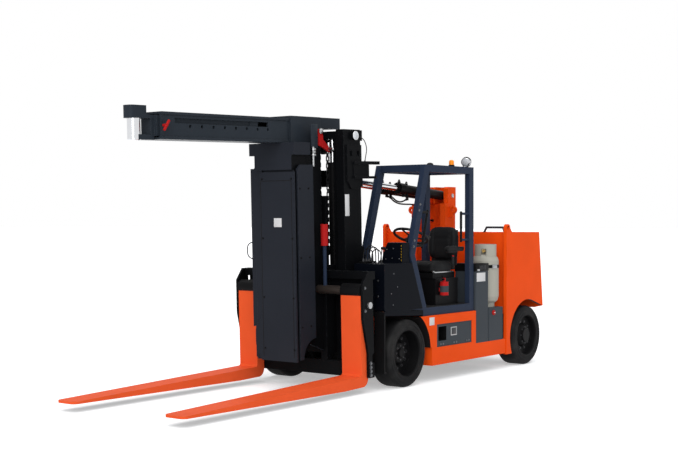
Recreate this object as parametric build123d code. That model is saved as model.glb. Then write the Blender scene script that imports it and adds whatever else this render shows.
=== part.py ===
from build123d import *
import math
import os

os.makedirs("parts", exist_ok=True)

# Millimetres. X runs forward from the drive axle, Y to the left, Z up from the floor.
# Wheels and stance
TYRE_R = 355.6
TYRE_W = 254.0
TYRE_FACE_Y = 880.0
SHOULDER_R = 42.0
RIM_R = 256.0
RIM_WALL = 22.0
WHEELBASE = 2590.0
SPINDLE_R = 60.0
RUN_GAP = 0.3

# Drive axle
AXLE_R = 75.0
AXLE_HALF = 600.0
DIFF_R = 150.0
DIFF_HALF = 130.0
DRUM_R = 150.0

# Main frame
BODY_Y = TYRE_FACE_Y
FRAME_FRONT_X = -467.0
FRAME_REAR_X = -2062.0
FRAME_BOTTOM_Z = 180.0
DECK_Z = 722.0
FENDER_X = -240.0
FENDER_Z = 379.0
FENDER_R = 440.0
PLATE = 25.0
WEB_IN_Y = 290.0
WEB_Y = 320.0
WEB_FRONT_X = 95.0
SLEEVE = 200.0
SLEEVE_WALL = 12.0
SLEEVE_Z = 480.0
SLEEVE_FRONT_X = -620.0

# Side cabinets, step and gas tank
CABINET_FRONT_X = -1386.0
CABINET_REAR_X = -1666.0
CABINET_IN_Y = 600.0
CABINET_TOP_Z = 1251.0
SHELF_Z = 351.0
TANK_BOX_FRONT_X = -1679.0
TANK_BOX_REAR_X = -2005.0
TANK_BOX_TOP_Z = 734.0
TANK_X = -1880.0
TANK_Y = 715.0
TANK_R = 155.0
TANK_TOP_Z = 1466.0
COLLAR_R = 128.0
COLLAR_H = 190.0
STEP_X = (-1299.0, -565.0)
STEP_Z = (372.0, 620.0)
TOE_X = (-768.0, -605.0)
TOE_Z = (436.0, 590.0)

# Cab
SILL_Z = 790.0
FLOOR_Z = 810.0
CAB_IN_Y = 215.0
CAB_OUT_Y = 860.0
GUARD_TOP_Z = 2347.0
GUARD_FRONT_X = -365.0
GUARD_REAR_X = -1365.0
GUARD_TUBE = 78.0
GUARD_TUBE_Y = 60.0
GRAB_R = 14.0
KNEE_X = -75.0
KNEE_Z = 1382.0
SILL_FRONT_X = -310.0
COWL_FRONT_X = 415.0
COWL_IN_Y = 490.0
COWL_OUT_Y = 870.0
COWL_TOP_Z = 1300.0
COWL_WALL = 20.0
APRON_Z = (770.0, 734.0)
GUARD_PLATE_IN_Y = 745.0
GUARD_PLATE_T = 18.0
GUARD_PLATE_BOTTOM_Z = 178.0
SEAT_Y = 550.0
SEAT_W = 400.0
SEAT_FRONT_X = -700.0
SEAT_TOP_Z = 1290.0
SEAT_BASE_TOP_Z = 1165.0
STEER_WHEEL_AT = (-538.0, 560.0, 1575.0)
STEER_WHEEL_R = 190.0
STEER_WHEEL_LEAN = -25.0
STEER_RING_R = 15.0
STEER_STALK_R = 34.0
STEER_STALK_L = 90.0
CONSOLE_X = (KNEE_X + 3, 60.0)
CONSOLE_Y = (600.0, 850.0)
CONSOLE_H = 215.0
CONSOLE_CUT = (60.0, 150.0)

# Engine side
HOOD_FRONT_X = -430.0
HOOD_REAR_X = -1700.0
HOOD_LEFT_Y = 180.0
HOOD_TOP_Z = 1190.0
HOOD_WALL = 15.0
ENGINE = (700.0, 560.0, 380.0)
ENGINE_X = -950.0
ENGINE_Y = -330.0

# Tilt tower and tilt cylinders
TOWER_X = -1865.0
TOWER_DEPTH = 230.0
TOWER_IN_Y = 165.0
TOWER_OUT_Y = 237.0
TOWER_TOP_Z = 1948.0
TOWER_RIB_Y = 110.0
TOWER_RIB = 85.0
CHEEK_H = 198.0
CHEEK_BACK = 66.0
EYE_X = TOWER_X + 20
EYE_Y = 294.0
EYE_Z = 1871.0
EYE_R = 46.0
EYE_BORE_R = 22.0
EYE_T = 30.0
TILT_Y = 115.0
TILT_PIN_BACK = 52.0
TILT_PIN_RISE = 93.0
TILT_BARREL_R = 56.0
TILT_BARREL_L = 1000.0
TILT_ROD_R = 33.0
TILT_PIN_R = 22.0
TILT_EYE_R = 48.0
TILT_EYE_HALF = 30.0
TILT_REAR_HALF = 55.0
TILT_ROD_IN = 320.0

# Rear unit
REAR_LIP = 10.0
REAR_HALF = BODY_Y + REAR_LIP
REAR_SKIN = 40.0
REAR_FRONT_X = -2070.0
REAR_WALL_X = REAR_FRONT_X - 50
REAR_TOP_Z = 1603.0
REAR_TOP_X = -2885.0
REAR_LOW_X = -2979.0
REAR_LOW_Z = 692.0
REAR_SKIRT_Z = 165.0
REAR_BELLY_Z = 790.0
APRON_REAR_Z = 640.0
BUMPER_Z = 668.0
BUMPER_T = 18.0
SADDLE = (600.0, 360.0)
SADDLE_CLEAR = 7.0
ARCH_R = 434.0
EAR_H = 98.0
EAR_R = 44.0
EAR_BASE = 144.0
EAR_BORE_R = 24.0
CORE_HALF = 240.0
CORE_REAR_X = -2900.0
STEER_BEAM = (160.0, 940.0, 175.0)
STEER_BEAM_TOP_Z = 445.0
KINGPIN_Y = 545.0
KINGPIN_R = 25.0
JAW_R = 58.0
JAW_T = 30.0
KNUCKLE_R = 54.0
KNUCKLE_H = 112.0
RAIL_CLEAR = 6.0
RAIL_FRONT_X = -650.0

# Mast, drawn upright and then leaned forward about the drive axle
TILT_REST = 1.8
MAST_OUT_Y = 440.0
MAST_REAR_X = 174.0
MAST_FRONT_X = 471.0
MAST_TOP_Z = 2705.0
MAST_FOOT_Z = 140.0
FLANGE = 28.0
FLANGE_Y = 345.0
WEB_T = 25.0
INNER_CLEAR = 6.0
INNER_WEB_Y = 350.0
INNER_WEB_T = 22.0
INNER_IN_Y = 285.0
INNER_FOOT_Z = 190.0
INNER_TOP_Z = 2690.0
CROSSHEAD_Z = 2610.0
LUG_R = 125.0
LUG_Y = (385.0, 430.0)
CROSS_T = 34.0
LIFT_Y = 170.0
LIFT_X = 300.0
LIFT_BARREL_R = 50.0
LIFT_ROD_R = 35.0
LIFT_BARREL_TOP_Z = 2350.0
LIFT_ROD_FOOT_Z = 900.0
YOKE_Y = (400.0, 478.0)
YOKE_Z = (2192.0, 2375.0)
YOKE_PLATE = 34.0
YOKE_TAIL_X = -110.0
YOKE_R = 52.0
YOKE_BOX_X = (55.0, 330.0)
STAY_X = (176.0, 430.0)
STAY_Z = (2085.0, 2545.0)
STAY_T = 16.0
TILT_FRONT_X = 80.0
TILT_FRONT_Z = 2195.0
CHAIN_Y = 80.0
CHAIN_W = 36.0
CHAIN_T = 22.0
CHAIN_REAR_Z = 1435.0
CHAIN_FOOT_Z = 460.0
SHEAVE_R = 60.0
SHEAVE_X = 345.0
SHEAVE_Z = 2515.0

# Fork carriage
CAR_IN_Y = 252.0
CAR_OUT_Y = 278.0
CAR_REAR_X = 250.0
CAR_BACK_X = 480.0
CAR_FACE_X = 520.0
CAR_LOW_Z = 380.0
CAR_HIGH_Z = 1300.0
RISER_Y = (100.0, 235.0)
RISER_TOP_Z = 2020.0
ROLLER_R = 80.0
ROLLER_X = 322.0
TOP_BAR_Z = (1170.0, 1250.0)
LOW_BAR_Z = (170.0, 320.0)
CAR_BAR_X = 600.0
END_IN_Y = 820.0
END_OUT_Y = 845.0
SHAFT_R = 45.0
SHAFT_X = 677.0
SHAFT_Z = 1060.0
PIN_END = (630.0, 912.0, 34.0)

# Forks
FORK_IN_Y = 567.0
FORK_OUT_Y = 812.0
FORK_T = 110.0
FORK_FRONT_X = 732.0
FORK_TIP_X = 3272.0
FORK_TOP_Z = 203.0
FORK_SHANK_TOP_Z = 955.0
FORK_TIP_T = 22.0
FORK_HEEL_R = 85.0
FORK_EYE_R = 72.0

# Boom on its column
COLUMN_X = (863.0, 1070.0)
COLUMN_HALF = 295.0
COLUMN_CORE = 262.0
COLUMN_Z = (355.0, 2290.0)
COLUMN_WALL = 15.0
CHEEK_Y = (200.0, 240.0)
COVER_X = 1093.0
COVER_T = 24.0
WING_Z = (690.0, 2310.0)
WING_IN_Y = 140.0
SIDE_X = (800.0, 1053.0)
SIDE_T = 20.0
SIDE_CUT_R = 200.0
NECK_HALF = 226.0
NECK_TOP_Z = 2440.0
BOOM_Z = (2566.0, 2816.0)
BOOM_HALF = 125.0
BOOM_WALL = 22.0
BOOM_ROOT_X = 965.0
BOOM_END_X = 2773.0
BOOM_STRIP = 10.0
BOOM_STRIP_H = 26.0
HOLE_FIRST_X = 2398.0
HOLE_PITCH = 158.0
HOLE_COUNT = 8
HOLE_R = 16.0
HOLE_Z = 2690.0
HANDLE_X = 2745.0
SLOT_X = (1290.0, 2600.0)
SLOT_Z = (2716.0, 2762.0)
BOOM_GAP = 8.0
BOOM_INNER_X = (1420.0, 2800.0)
HEAD_X = (2890.0, 3078.0)
HEAD_Z = (2753.0, 2868.0)
HEAD_HALF = 62.0
SWIVEL_X = 2990.0
SWIVEL_R = 60.0
SWIVEL_FOOT_Z = 2554.0

STEER_X = -WHEELBASE
TILT_REAR_PIN = (TOWER_X - TILT_PIN_BACK, TOWER_TOP_Z + TILT_PIN_RISE)
MAST_PIVOT_Z = TYRE_R


def block(x, y, z):
    (x0, x1), (y0, y1), (z0, z1) = x, y, z
    return Pos((x0 + x1) / 2, (y0 + y1) / 2, (z0 + z1) / 2) * Box(x1 - x0, y1 - y0, z1 - z0)


def side_plate(points, y):
    face = Face(Wire.make_polygon([(px, y[0], pz) for px, pz in points]))
    return Solid.extrude(face, Vector(0, y[1] - y[0], 0))


def front_plate(points, x):
    face = Face(Wire.make_polygon([(x[0], py, pz) for py, pz in points]))
    return Solid.extrude(face, Vector(x[1] - x[0], 0, 0))


def bar(start, end, radius):
    run = Vector(*end) - Vector(*start)
    return Solid.make_cylinder(radius, run.length, Plane(origin=start, z_dir=run))


def cross_bar(x, z, radius, y):
    return bar((x, y[0], z), (x, y[1], z), radius)


def both(shape):
    return shape + mirror(shape, Plane.XZ)


def pair(shape):
    return Compound([shape, mirror(shape, Plane.XZ)])


def turned(profile, x, z):
    face = Face(Wire.make_polygon([(0, py, pr) for py, pr in profile]))
    return Pos(x, 0, z) * Solid.revolve(face, 360, Axis.Y)


LEAN = Pos(0, 0, MAST_PIVOT_Z) * Rot(0, TILT_REST, 0) * Pos(0, 0, -MAST_PIVOT_Z)


def tyre(x):
    outer = TYRE_FACE_Y
    inner = TYRE_FACE_Y - TYRE_W
    shoulder = [
        (0, SHOULDER_R), (0.13 * SHOULDER_R, 0.5 * SHOULDER_R),
        (0.5 * SHOULDER_R, 0.13 * SHOULDER_R), (SHOULDER_R, 0),
    ]
    profile = [(inner, RIM_R)]
    profile += [(inner + side, TYRE_R - drop) for side, drop in shoulder]
    profile += [(outer - side, TYRE_R - drop) for side, drop in reversed(shoulder)]
    profile += [(outer, RIM_R)]
    return turned(profile, x, TYRE_R)


def rim(x, disc_y, hub_y, hub_r, cap_r, bore_end_y):
    back_y = TYRE_FACE_Y - TYRE_W
    inner = RIM_R - RIM_WALL
    radius = RIM_R - RUN_GAP
    bore = SPINDLE_R + RUN_GAP
    profile = [
        (back_y, radius), (TYRE_FACE_Y, radius), (TYRE_FACE_Y, radius - 14), (TYRE_FACE_Y - 16, inner),
        (disc_y + 10, inner - 6), (disc_y + 4, hub_r + 30), (hub_y - 34, hub_r), (hub_y - 24, hub_r - 12),
        (hub_y - 22, cap_r + 4), (hub_y - 4, cap_r), (hub_y, cap_r - 6), (hub_y, 0),
        (bore_end_y, 0), (bore_end_y, bore), (back_y + 14, bore), (back_y + 14, hub_r),
        (disc_y - 24, hub_r + 24),
        (disc_y - 16, inner - 6), (back_y, inner),
    ]
    return turned(profile, x, TYRE_R)


def drive_axle():
    tube = cross_bar(0, TYRE_R, AXLE_R, (-AXLE_HALF, AXLE_HALF))
    bowl = cross_bar(-30, TYRE_R, DIFF_R, (-DIFF_HALF, DIFF_HALF))
    bowl = chamfer(bowl.edges().filter_by(GeomType.CIRCLE), 40)
    drum = cross_bar(0, TYRE_R, DRUM_R, (AXLE_HALF - 45, AXLE_HALF))
    spindle = cross_bar(0, TYRE_R, SPINDLE_R, (AXLE_HALF, 760))
    return both(tube + bowl + drum + spindle)


def main_frame():
    web = side_plate([
        (WEB_FRONT_X, 262), (WEB_FRONT_X, 470), (20, DECK_Z), (FRAME_REAR_X, DECK_Z), (FRAME_REAR_X, 250),
        (-110, 250),
    ], (WEB_IN_Y, WEB_Y))
    web = web - cross_bar(0, TYRE_R, AXLE_R, (WEB_IN_Y - 5, WEB_Y + 5))
    deck = block((FRAME_REAR_X, -150), (-WEB_IN_Y, WEB_IN_Y), (DECK_Z - PLATE, DECK_Z))
    bulkhead = block((SLEEVE_FRONT_X, SLEEVE_FRONT_X + PLATE), (-WEB_IN_Y, WEB_IN_Y), (380, DECK_Z - PLATE))
    half = SLEEVE / 2
    bore = half - SLEEVE_WALL
    mid_y = WEB_IN_Y - half
    sleeve = block(
        (FRAME_REAR_X, SLEEVE_FRONT_X), (mid_y - half, mid_y + half), (SLEEVE_Z - half, SLEEVE_Z + half))
    sleeve = sleeve - block(
        (FRAME_REAR_X, SLEEVE_FRONT_X), (mid_y - bore, mid_y + bore), (SLEEVE_Z - bore, SLEEVE_Z + bore))
    left = side_plate([
        (FRAME_FRONT_X, FRAME_BOTTOM_Z), (FRAME_FRONT_X, FENDER_Z), (FENDER_X, FENDER_Z),
        (FENDER_X, DECK_Z),
        (CABINET_FRONT_X, DECK_Z), (CABINET_FRONT_X, SHELF_Z), (FRAME_REAR_X, SHELF_Z),
        (FRAME_REAR_X, FRAME_BOTTOM_Z),
    ], (WEB_Y, BODY_Y))
    arch = cross_bar(0, TYRE_R, FENDER_R, (WEB_Y, BODY_Y))
    left = left - arch
    left = left - side_plate([
        (FRAME_FRONT_X - PLATE, FRAME_BOTTOM_Z + PLATE), (FRAME_FRONT_X - PLATE, DECK_Z - PLATE),
        (CABINET_FRONT_X + PLATE, DECK_Z - PLATE), (CABINET_FRONT_X + PLATE, SHELF_Z - PLATE),
        (FRAME_REAR_X + PLATE, SHELF_Z - PLATE), (FRAME_REAR_X + PLATE, FRAME_BOTTOM_Z + PLATE),
    ], (WEB_Y, BODY_Y - PLATE))
    left = left - block(STEP_X, (BODY_Y - PLATE, BODY_Y), STEP_Z)
    right = block((FRAME_REAR_X, FRAME_FRONT_X), (-BODY_Y, -WEB_Y), (FRAME_BOTTOM_Z, DECK_Z))
    fender = block((FRAME_FRONT_X, FENDER_X), (-BODY_Y, -WEB_Y), (FENDER_Z, DECK_Z))
    right = right + fender - mirror(arch, Plane.XZ)
    right = right - block(
        (FRAME_REAR_X + PLATE, FRAME_FRONT_X - PLATE), (-BODY_Y + PLATE, -WEB_Y),
        (FRAME_BOTTOM_Z + PLATE, DECK_Z - PLATE))
    for i in range(4):
        slot_x = -760 - i * 300
        right = right - block((slot_x - 110, slot_x + 110), (-BODY_Y, -BODY_Y + PLATE), (520, 560))
    shelf = block((HOOD_FRONT_X, 20), (-COWL_OUT_Y, -WEB_IN_Y), (DECK_Z, SILL_Z))
    return both(web) + deck + bulkhead + both(sleeve) + left + right + shelf


def side_cabinets():
    tall = block((CABINET_REAR_X, CABINET_FRONT_X), (CABINET_IN_Y, BODY_Y), (SHELF_Z, CABINET_TOP_Z))
    tall = fillet(tall.edges().filter_by(Axis.Z), 12)
    low = block((TANK_BOX_REAR_X, TANK_BOX_FRONT_X), (CABINET_IN_Y - 60, BODY_Y), (SHELF_Z, TANK_BOX_TOP_Z))
    low = fillet(low.edges().filter_by(Axis.Z), 12)
    return Compound([tall, low, step_panel(), tank_strap()])


def step_panel():
    panel = block(STEP_X, (BODY_Y - PLATE, BODY_Y - 8), STEP_Z)
    pocket = block((TOE_X[0] - 10, TOE_X[1] + 10), (BODY_Y - 170, BODY_Y - PLATE),
        (TOE_Z[0] - 10, TOE_Z[1] + 10))
    return panel + pocket - block(TOE_X, (BODY_Y - 160, BODY_Y), TOE_Z)


def lp_tank():
    foot = TANK_BOX_TOP_Z
    profile = [
        (0, foot), (105, foot), (105, foot + 45), (140, foot + 75), (TANK_R, foot + 125),
        (TANK_R, TANK_TOP_Z - 190),
        (140, TANK_TOP_Z - 150), (105, TANK_TOP_Z - 125), (0, TANK_TOP_Z - 115),
    ]
    face = Face(Wire.make_polygon([(r, 0, z) for r, z in profile]))
    body = Solid.revolve(face, 360, Axis.Z)
    collar = Solid.make_cylinder(COLLAR_R, COLLAR_H, Plane((0, 0, TANK_TOP_Z - COLLAR_H)))
    collar = collar - Solid.make_cylinder(COLLAR_R - 6, COLLAR_H, Plane((0, 0, TANK_TOP_Z - COLLAR_H)))
    hand_hole = block((-32, 32), (COLLAR_R - 30, COLLAR_R + 10), (TANK_TOP_Z - 150, TANK_TOP_Z - 52))
    collar = collar - Rot(0, 0, -70) * hand_hole
    valve = Solid.make_cylinder(28, 75, Plane((0, 0, TANK_TOP_Z - 120)))
    return Pos(TANK_X, TANK_Y, 0) * (body + collar + valve)


def tank_strap():
    z0, z1 = TANK_TOP_Z - 275, TANK_TOP_Z - 240
    ring = Solid.make_cylinder(TANK_R + 6, z1 - z0, Plane((TANK_X, TANK_Y, z0)))
    ring = ring - Solid.make_cylinder(TANK_R, z1 - z0, Plane((TANK_X, TANK_Y, z0)))
    post_y = TANK_Y - TANK_R - 6
    post = block((TANK_X - 60, TANK_X + 60), (post_y - 12, post_y + 1), (TANK_BOX_TOP_Z, z1 + 30))
    return ring + (post - Solid.make_cylinder(TANK_R, 700, Plane((TANK_X, TANK_Y, TANK_BOX_TOP_Z))))


def cab_floor():
    sill = block((GUARD_REAR_X, SILL_FRONT_X), (WEB_Y, CAB_OUT_Y), (DECK_Z, SILL_Z))
    sill = sill - block(
        (GUARD_REAR_X + 60, SILL_FRONT_X - 60), (WEB_Y + 60, CAB_OUT_Y - 60), (DECK_Z, SILL_Z))
    floor = block((GUARD_REAR_X, KNEE_X), (CAB_IN_Y, CAB_OUT_Y), (SILL_Z, FLOOR_Z))
    ledge = block((KNEE_X, COWL_FRONT_X), (COWL_IN_Y, COWL_OUT_Y), (SILL_Z, FLOOR_Z))
    bearer = block((SILL_FRONT_X, 20), (WEB_IN_Y, COWL_IN_Y + 60), (DECK_Z, SILL_Z))
    apron_x = COWL_FRONT_X - GUARD_PLATE_T
    apron = side_plate([
        (apron_x, SILL_Z), (apron_x, APRON_Z[0]), (SILL_FRONT_X, APRON_Z[1]), (SILL_FRONT_X, SILL_Z),
    ], (COWL_OUT_Y - COWL_WALL, COWL_OUT_Y))
    return sill + floor + ledge + bearer + apron + seat_base()


def front_guards():
    plate = block(
        (COWL_FRONT_X - GUARD_PLATE_T, COWL_FRONT_X), (GUARD_PLATE_IN_Y, COWL_OUT_Y),
        (GUARD_PLATE_BOTTOM_Z, SILL_Z))
    foot = block(
        (COWL_FRONT_X - 40, COWL_FRONT_X - GUARD_PLATE_T), (GUARD_PLATE_IN_Y, COWL_OUT_Y),
        (GUARD_PLATE_BOTTOM_Z, GUARD_PLATE_BOTTOM_Z + 14))
    return pair(plate + foot)


def front_cowl():
    shell = block((KNEE_X, COWL_FRONT_X), (COWL_IN_Y, COWL_OUT_Y), (FLOOR_Z, COWL_TOP_Z))
    shell = fillet(shell.edges().filter_by(Axis.Y).sort_by(Axis.X)[-1:], 40)
    shell = shell - block(
        (KNEE_X, COWL_FRONT_X - COWL_WALL), (COWL_IN_Y + COWL_WALL, COWL_OUT_Y - COWL_WALL),
        (FLOOR_Z, COWL_TOP_Z - COWL_WALL))
    y0, y1 = CONSOLE_Y
    top = COWL_TOP_Z + CONSOLE_H
    cut_y, cut_z = CONSOLE_CUT
    console = front_plate([
        (y0, COWL_TOP_Z), (y1, COWL_TOP_Z), (y1, top), (y0 + cut_y, top), (y0, top - cut_z),
    ], CONSOLE_X)
    console = fillet(console.edges().filter_by(Axis.Y).sort_by(Axis.Z)[-2:], 18)
    wing = side_plate([
        (KNEE_X, COWL_TOP_Z), (KNEE_X, FLOOR_Z), (SILL_FRONT_X + 12, FLOOR_Z), (KNEE_X - 22, COWL_TOP_Z),
    ], (COWL_OUT_Y - COWL_WALL, COWL_OUT_Y))
    return shell + wing + console + steering_column()


def hydraulic_tank():
    body = block((HOOD_FRONT_X, COWL_FRONT_X), (-COWL_OUT_Y, -COWL_IN_Y), (SILL_Z, 1140))
    body = fillet(body.edges().filter_by(Axis.Y).sort_by(Axis.Z)[-2:], 50)
    cap = Solid.make_cylinder(45, 30, Plane((150, -700, 1140)))
    return body + cap


def guard_side(y):
    tube = GUARD_TUBE
    front = side_plate([
        (GUARD_FRONT_X, GUARD_TOP_Z), (GUARD_FRONT_X - 100, GUARD_TOP_Z), (KNEE_X - 92, KNEE_Z),
        (KNEE_X, KNEE_Z),
    ], y)
    lower = side_plate([
        (KNEE_X, KNEE_Z), (KNEE_X - 92, KNEE_Z), (SILL_FRONT_X - 80, FLOOR_Z), (SILL_FRONT_X, FLOOR_Z),
    ], y)
    rear = block((GUARD_REAR_X, GUARD_REAR_X + 90), y, (FLOOR_Z, GUARD_TOP_Z))
    top = block((GUARD_REAR_X, GUARD_FRONT_X), y, (GUARD_TOP_Z - tube, GUARD_TOP_Z))
    side = front + lower + rear + top
    return side


def overhead_guard():
    tube = GUARD_TUBE
    left = guard_side((CAB_OUT_Y - GUARD_TUBE_Y, CAB_OUT_Y))
    right = guard_side((CAB_IN_Y, CAB_IN_Y + GUARD_TUBE_Y))
    span = (CAB_IN_Y + GUARD_TUBE_Y, CAB_OUT_Y - GUARD_TUBE_Y)
    front = block((GUARD_FRONT_X - tube, GUARD_FRONT_X), span, (GUARD_TOP_Z - tube, GUARD_TOP_Z))
    rear = block((GUARD_REAR_X, GUARD_REAR_X + tube), span, (GUARD_TOP_Z - tube, GUARD_TOP_Z))
    guard = left + right + front + rear
    slats = 5
    for i in range(slats):
        mid = span[0] + (i + 0.5) * (span[1] - span[0]) / slats
        guard = guard + block(
            (GUARD_REAR_X + tube, GUARD_FRONT_X - tube), (mid - 14, mid + 14),
            (GUARD_TOP_Z - 62, GUARD_TOP_Z - 12))
    return guard + grab_rails()


def grab_rails():
    y = CAB_OUT_Y - 22
    front = bar((-440, y, 1848), (-333, y, 1462), GRAB_R)
    for x, z, post_x in ((-436, 1834, -270), (-337, 1476, -160)):
        front = front + bar((x, y, z), (post_x, y, z), GRAB_R)
    rear_x = GUARD_REAR_X + 236
    rear = bar((rear_x, y, 1515), (rear_x, y, 1835), GRAB_R)
    for z in (1529, 1821):
        rear = rear + bar((rear_x, y, z), (GUARD_REAR_X + 80, y, z), GRAB_R)
    return front + rear


def seat_base():
    box = block((-1200, SEAT_FRONT_X - 40), (SEAT_Y - 200, SEAT_Y + 200), (FLOOR_Z, SEAT_BASE_TOP_Z - 60))
    pan = block(
        (-1180, SEAT_FRONT_X - 30), (SEAT_Y - 170, SEAT_Y + 170), (SEAT_BASE_TOP_Z - 60, SEAT_BASE_TOP_Z))
    return box + pan


def seat():
    half = SEAT_W / 2
    cushion = block((-1160, SEAT_FRONT_X), (SEAT_Y - half, SEAT_Y + half), (SEAT_BASE_TOP_Z, SEAT_TOP_Z))
    cushion = fillet(cushion.edges().filter_by(Axis.Y), 40)
    back = side_plate([(-1160, 1200), (-1160, SEAT_TOP_Z), (-1190, 1690), (-1262, 1690), (-1262, 1200)],
        (SEAT_Y - half, SEAT_Y + half))
    back = fillet(back.edges().filter_by(Axis.X), 60)
    arm = block((-1160, -880), (SEAT_Y + half + 6, SEAT_Y + half + 60), (1400, 1460))
    stay = block((-1250, -1160), (SEAT_Y + half, SEAT_Y + half + 60), (1400, 1460))
    return cushion + back + arm + stay


def steering_column():
    lean = math.radians(STEER_WHEEL_LEAN)
    x, y, z = STEER_WHEEL_AT
    hub = 2 * STEER_RING_R
    top = (x - hub * math.sin(lean), y, z - hub * math.cos(lean))
    bend = (top[0] - STEER_STALK_L * math.sin(lean), y, top[2] - STEER_STALK_L * math.cos(lean))
    foot = (KNEE_X + STEER_STALK_R, y, COWL_TOP_Z - COWL_WALL / 2)
    knee = Pos(*bend) * Sphere(STEER_STALK_R)
    return bar(bend, top, STEER_STALK_R) + knee + bar(bend, foot, STEER_STALK_R)


def steering_wheel():
    r = STEER_RING_R
    ring = []
    for i in range(8):
        turn = math.radians(45 * i + 22.5)
        ring.append((STEER_WHEEL_R + r * math.cos(turn), 0, r * math.sin(turn)))
    wheel = Solid.revolve(Face(Wire.make_polygon(ring)), 360, Axis.Z)
    wheel = wheel + Pos(0, 0, -14) * Cylinder(38, 32)
    for i in range(3):
        spoke = Rot(0, 0, 120 * i) * Pos(STEER_WHEEL_R / 2 + 10, 0, -8) * Box(STEER_WHEEL_R - 20, 26, 10)
        wheel = wheel + spoke
    knob = Pos(-STEER_WHEEL_R * 0.6, STEER_WHEEL_R * 0.8, 30) * Cylinder(20, 46)
    return Pos(*STEER_WHEEL_AT) * Rot(0, STEER_WHEEL_LEAN, 0) * (wheel + knob)


def engine_block():
    lx, ly, lz = ENGINE
    return block(
        (ENGINE_X - lx / 2, ENGINE_X + lx / 2), (ENGINE_Y - ly / 2, ENGINE_Y + ly / 2), (DECK_Z, DECK_Z + lz))


def engine_hood():
    outer = block((HOOD_REAR_X, HOOD_FRONT_X), (-COWL_OUT_Y, HOOD_LEFT_Y), (DECK_Z, HOOD_TOP_Z))
    outer = fillet(outer.edges().filter_by(Axis.X).sort_by(Axis.Z)[-2:], 60)
    w = HOOD_WALL
    hood = outer - block(
        (HOOD_REAR_X + w, HOOD_FRONT_X - w), (-COWL_OUT_Y + w, HOOD_LEFT_Y - w), (DECK_Z, HOOD_TOP_Z - 75))
    for i in range(6):
        z = 850 + 45 * i
        hood = hood - block((-1500, -1000), (-COWL_OUT_Y, -COWL_OUT_Y + w), (z, z + 20))
    return hood


def tilt_tower():
    x0, x1 = TOWER_X - TOWER_DEPTH / 2, TOWER_X + TOWER_DEPTH / 2
    top = TOWER_TOP_Z + CHEEK_H
    post = block((x0, x1), (TOWER_IN_Y, TOWER_OUT_Y), (DECK_Z, TOWER_TOP_Z))
    post = post + block((x0, x0 + TOWER_RIB), (TOWER_RIB_Y, TOWER_IN_Y), (DECK_Z, TOWER_TOP_Z))
    px, pz = TILT_REAR_PIN
    inner = TILT_Y - TILT_REAR_HALF - 6
    outer = TILT_Y + TILT_REAR_HALF + 6
    cheek = [
        (x0, TOWER_TOP_Z), (x1 - CHEEK_BACK, TOWER_TOP_Z), (x1 - CHEEK_BACK, top - 20),
        (x1 - CHEEK_BACK - 20, top), (x0, top),
    ]
    post = post + side_plate(cheek, (inner - 24, inner)) + side_plate(cheek, (outer, TOWER_OUT_Y))
    post = post + cross_bar(px, pz, TILT_PIN_R, (inner - 24, outer + 30))
    post = post + block((x0, x0 + PLATE), (0, TOWER_RIB_Y), (DECK_Z, TOWER_TOP_Z))
    post = post + block((x0 - 12, x0), (0, TOWER_OUT_Y), (TOWER_TOP_Z - 120, top))
    half_t = EYE_T / 2
    eye = bar((EYE_X - half_t, EYE_Y, EYE_Z), (EYE_X + half_t, EYE_Y, EYE_Z), EYE_R)
    arm = block((EYE_X - half_t, EYE_X + half_t), (TOWER_OUT_Y, EYE_Y), (EYE_Z - 90, EYE_Z + EYE_R - 10))
    eye = eye + arm - bar((EYE_X - half_t, EYE_Y, EYE_Z), (EYE_X + half_t, EYE_Y, EYE_Z), EYE_BORE_R)
    return both(post + eye)


def leaned(x, z):
    a = math.radians(TILT_REST)
    dz = z - MAST_PIVOT_Z
    return (x * math.cos(a) + dz * math.sin(a), MAST_PIVOT_Z + dz * math.cos(a) - x * math.sin(a))


TILT_FRONT_PIN = leaned(TILT_FRONT_X, TILT_FRONT_Z)
TILT_RUN = math.hypot(TILT_FRONT_PIN[0] - TILT_REAR_PIN[0], TILT_FRONT_PIN[1] - TILT_REAR_PIN[1])
TILT_DIR = (
    (TILT_FRONT_PIN[0] - TILT_REAR_PIN[0]) / TILT_RUN,
    (TILT_FRONT_PIN[1] - TILT_REAR_PIN[1]) / TILT_RUN,
)


def along_tilt(distance):
    return (TILT_REAR_PIN[0] + TILT_DIR[0] * distance, TILT_Y, TILT_REAR_PIN[1] + TILT_DIR[1] * distance)


def tilt_barrels():
    span = (TILT_Y - TILT_REAR_HALF, TILT_Y + TILT_REAR_HALF)
    eye = cross_bar(TILT_REAR_PIN[0], TILT_REAR_PIN[1], TILT_EYE_R, span)
    barrel = bar(along_tilt(70), along_tilt(TILT_BARREL_L), TILT_BARREL_R)
    stem = bar(along_tilt(0), along_tilt(72), 40)
    gland = bar(along_tilt(TILT_BARREL_L - 60), along_tilt(TILT_BARREL_L + 20), TILT_BARREL_R - 6)
    collar = bar(along_tilt(TILT_BARREL_L - 110), along_tilt(TILT_BARREL_L), TILT_BARREL_R + 10)
    body = barrel + collar + gland + stem + eye
    body = body - bar(along_tilt(400), along_tilt(TILT_BARREL_L + 30), TILT_ROD_R + 1)
    body = body - cross_bar(TILT_REAR_PIN[0], TILT_REAR_PIN[1], TILT_PIN_R + RUN_GAP, span)
    return pair(body)


def tilt_rods():
    span = (TILT_Y - TILT_EYE_HALF, TILT_Y + TILT_EYE_HALF)
    rod = bar(along_tilt(TILT_BARREL_L - TILT_ROD_IN), along_tilt(TILT_RUN - 20), TILT_ROD_R)
    eye = cross_bar(TILT_FRONT_PIN[0], TILT_FRONT_PIN[1], TILT_EYE_R, span)
    body = rod + eye - cross_bar(TILT_FRONT_PIN[0], TILT_FRONT_PIN[1], TILT_PIN_R + 11,
        (TILT_Y - 50, TILT_Y + 50))
    return pair(body)


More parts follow.
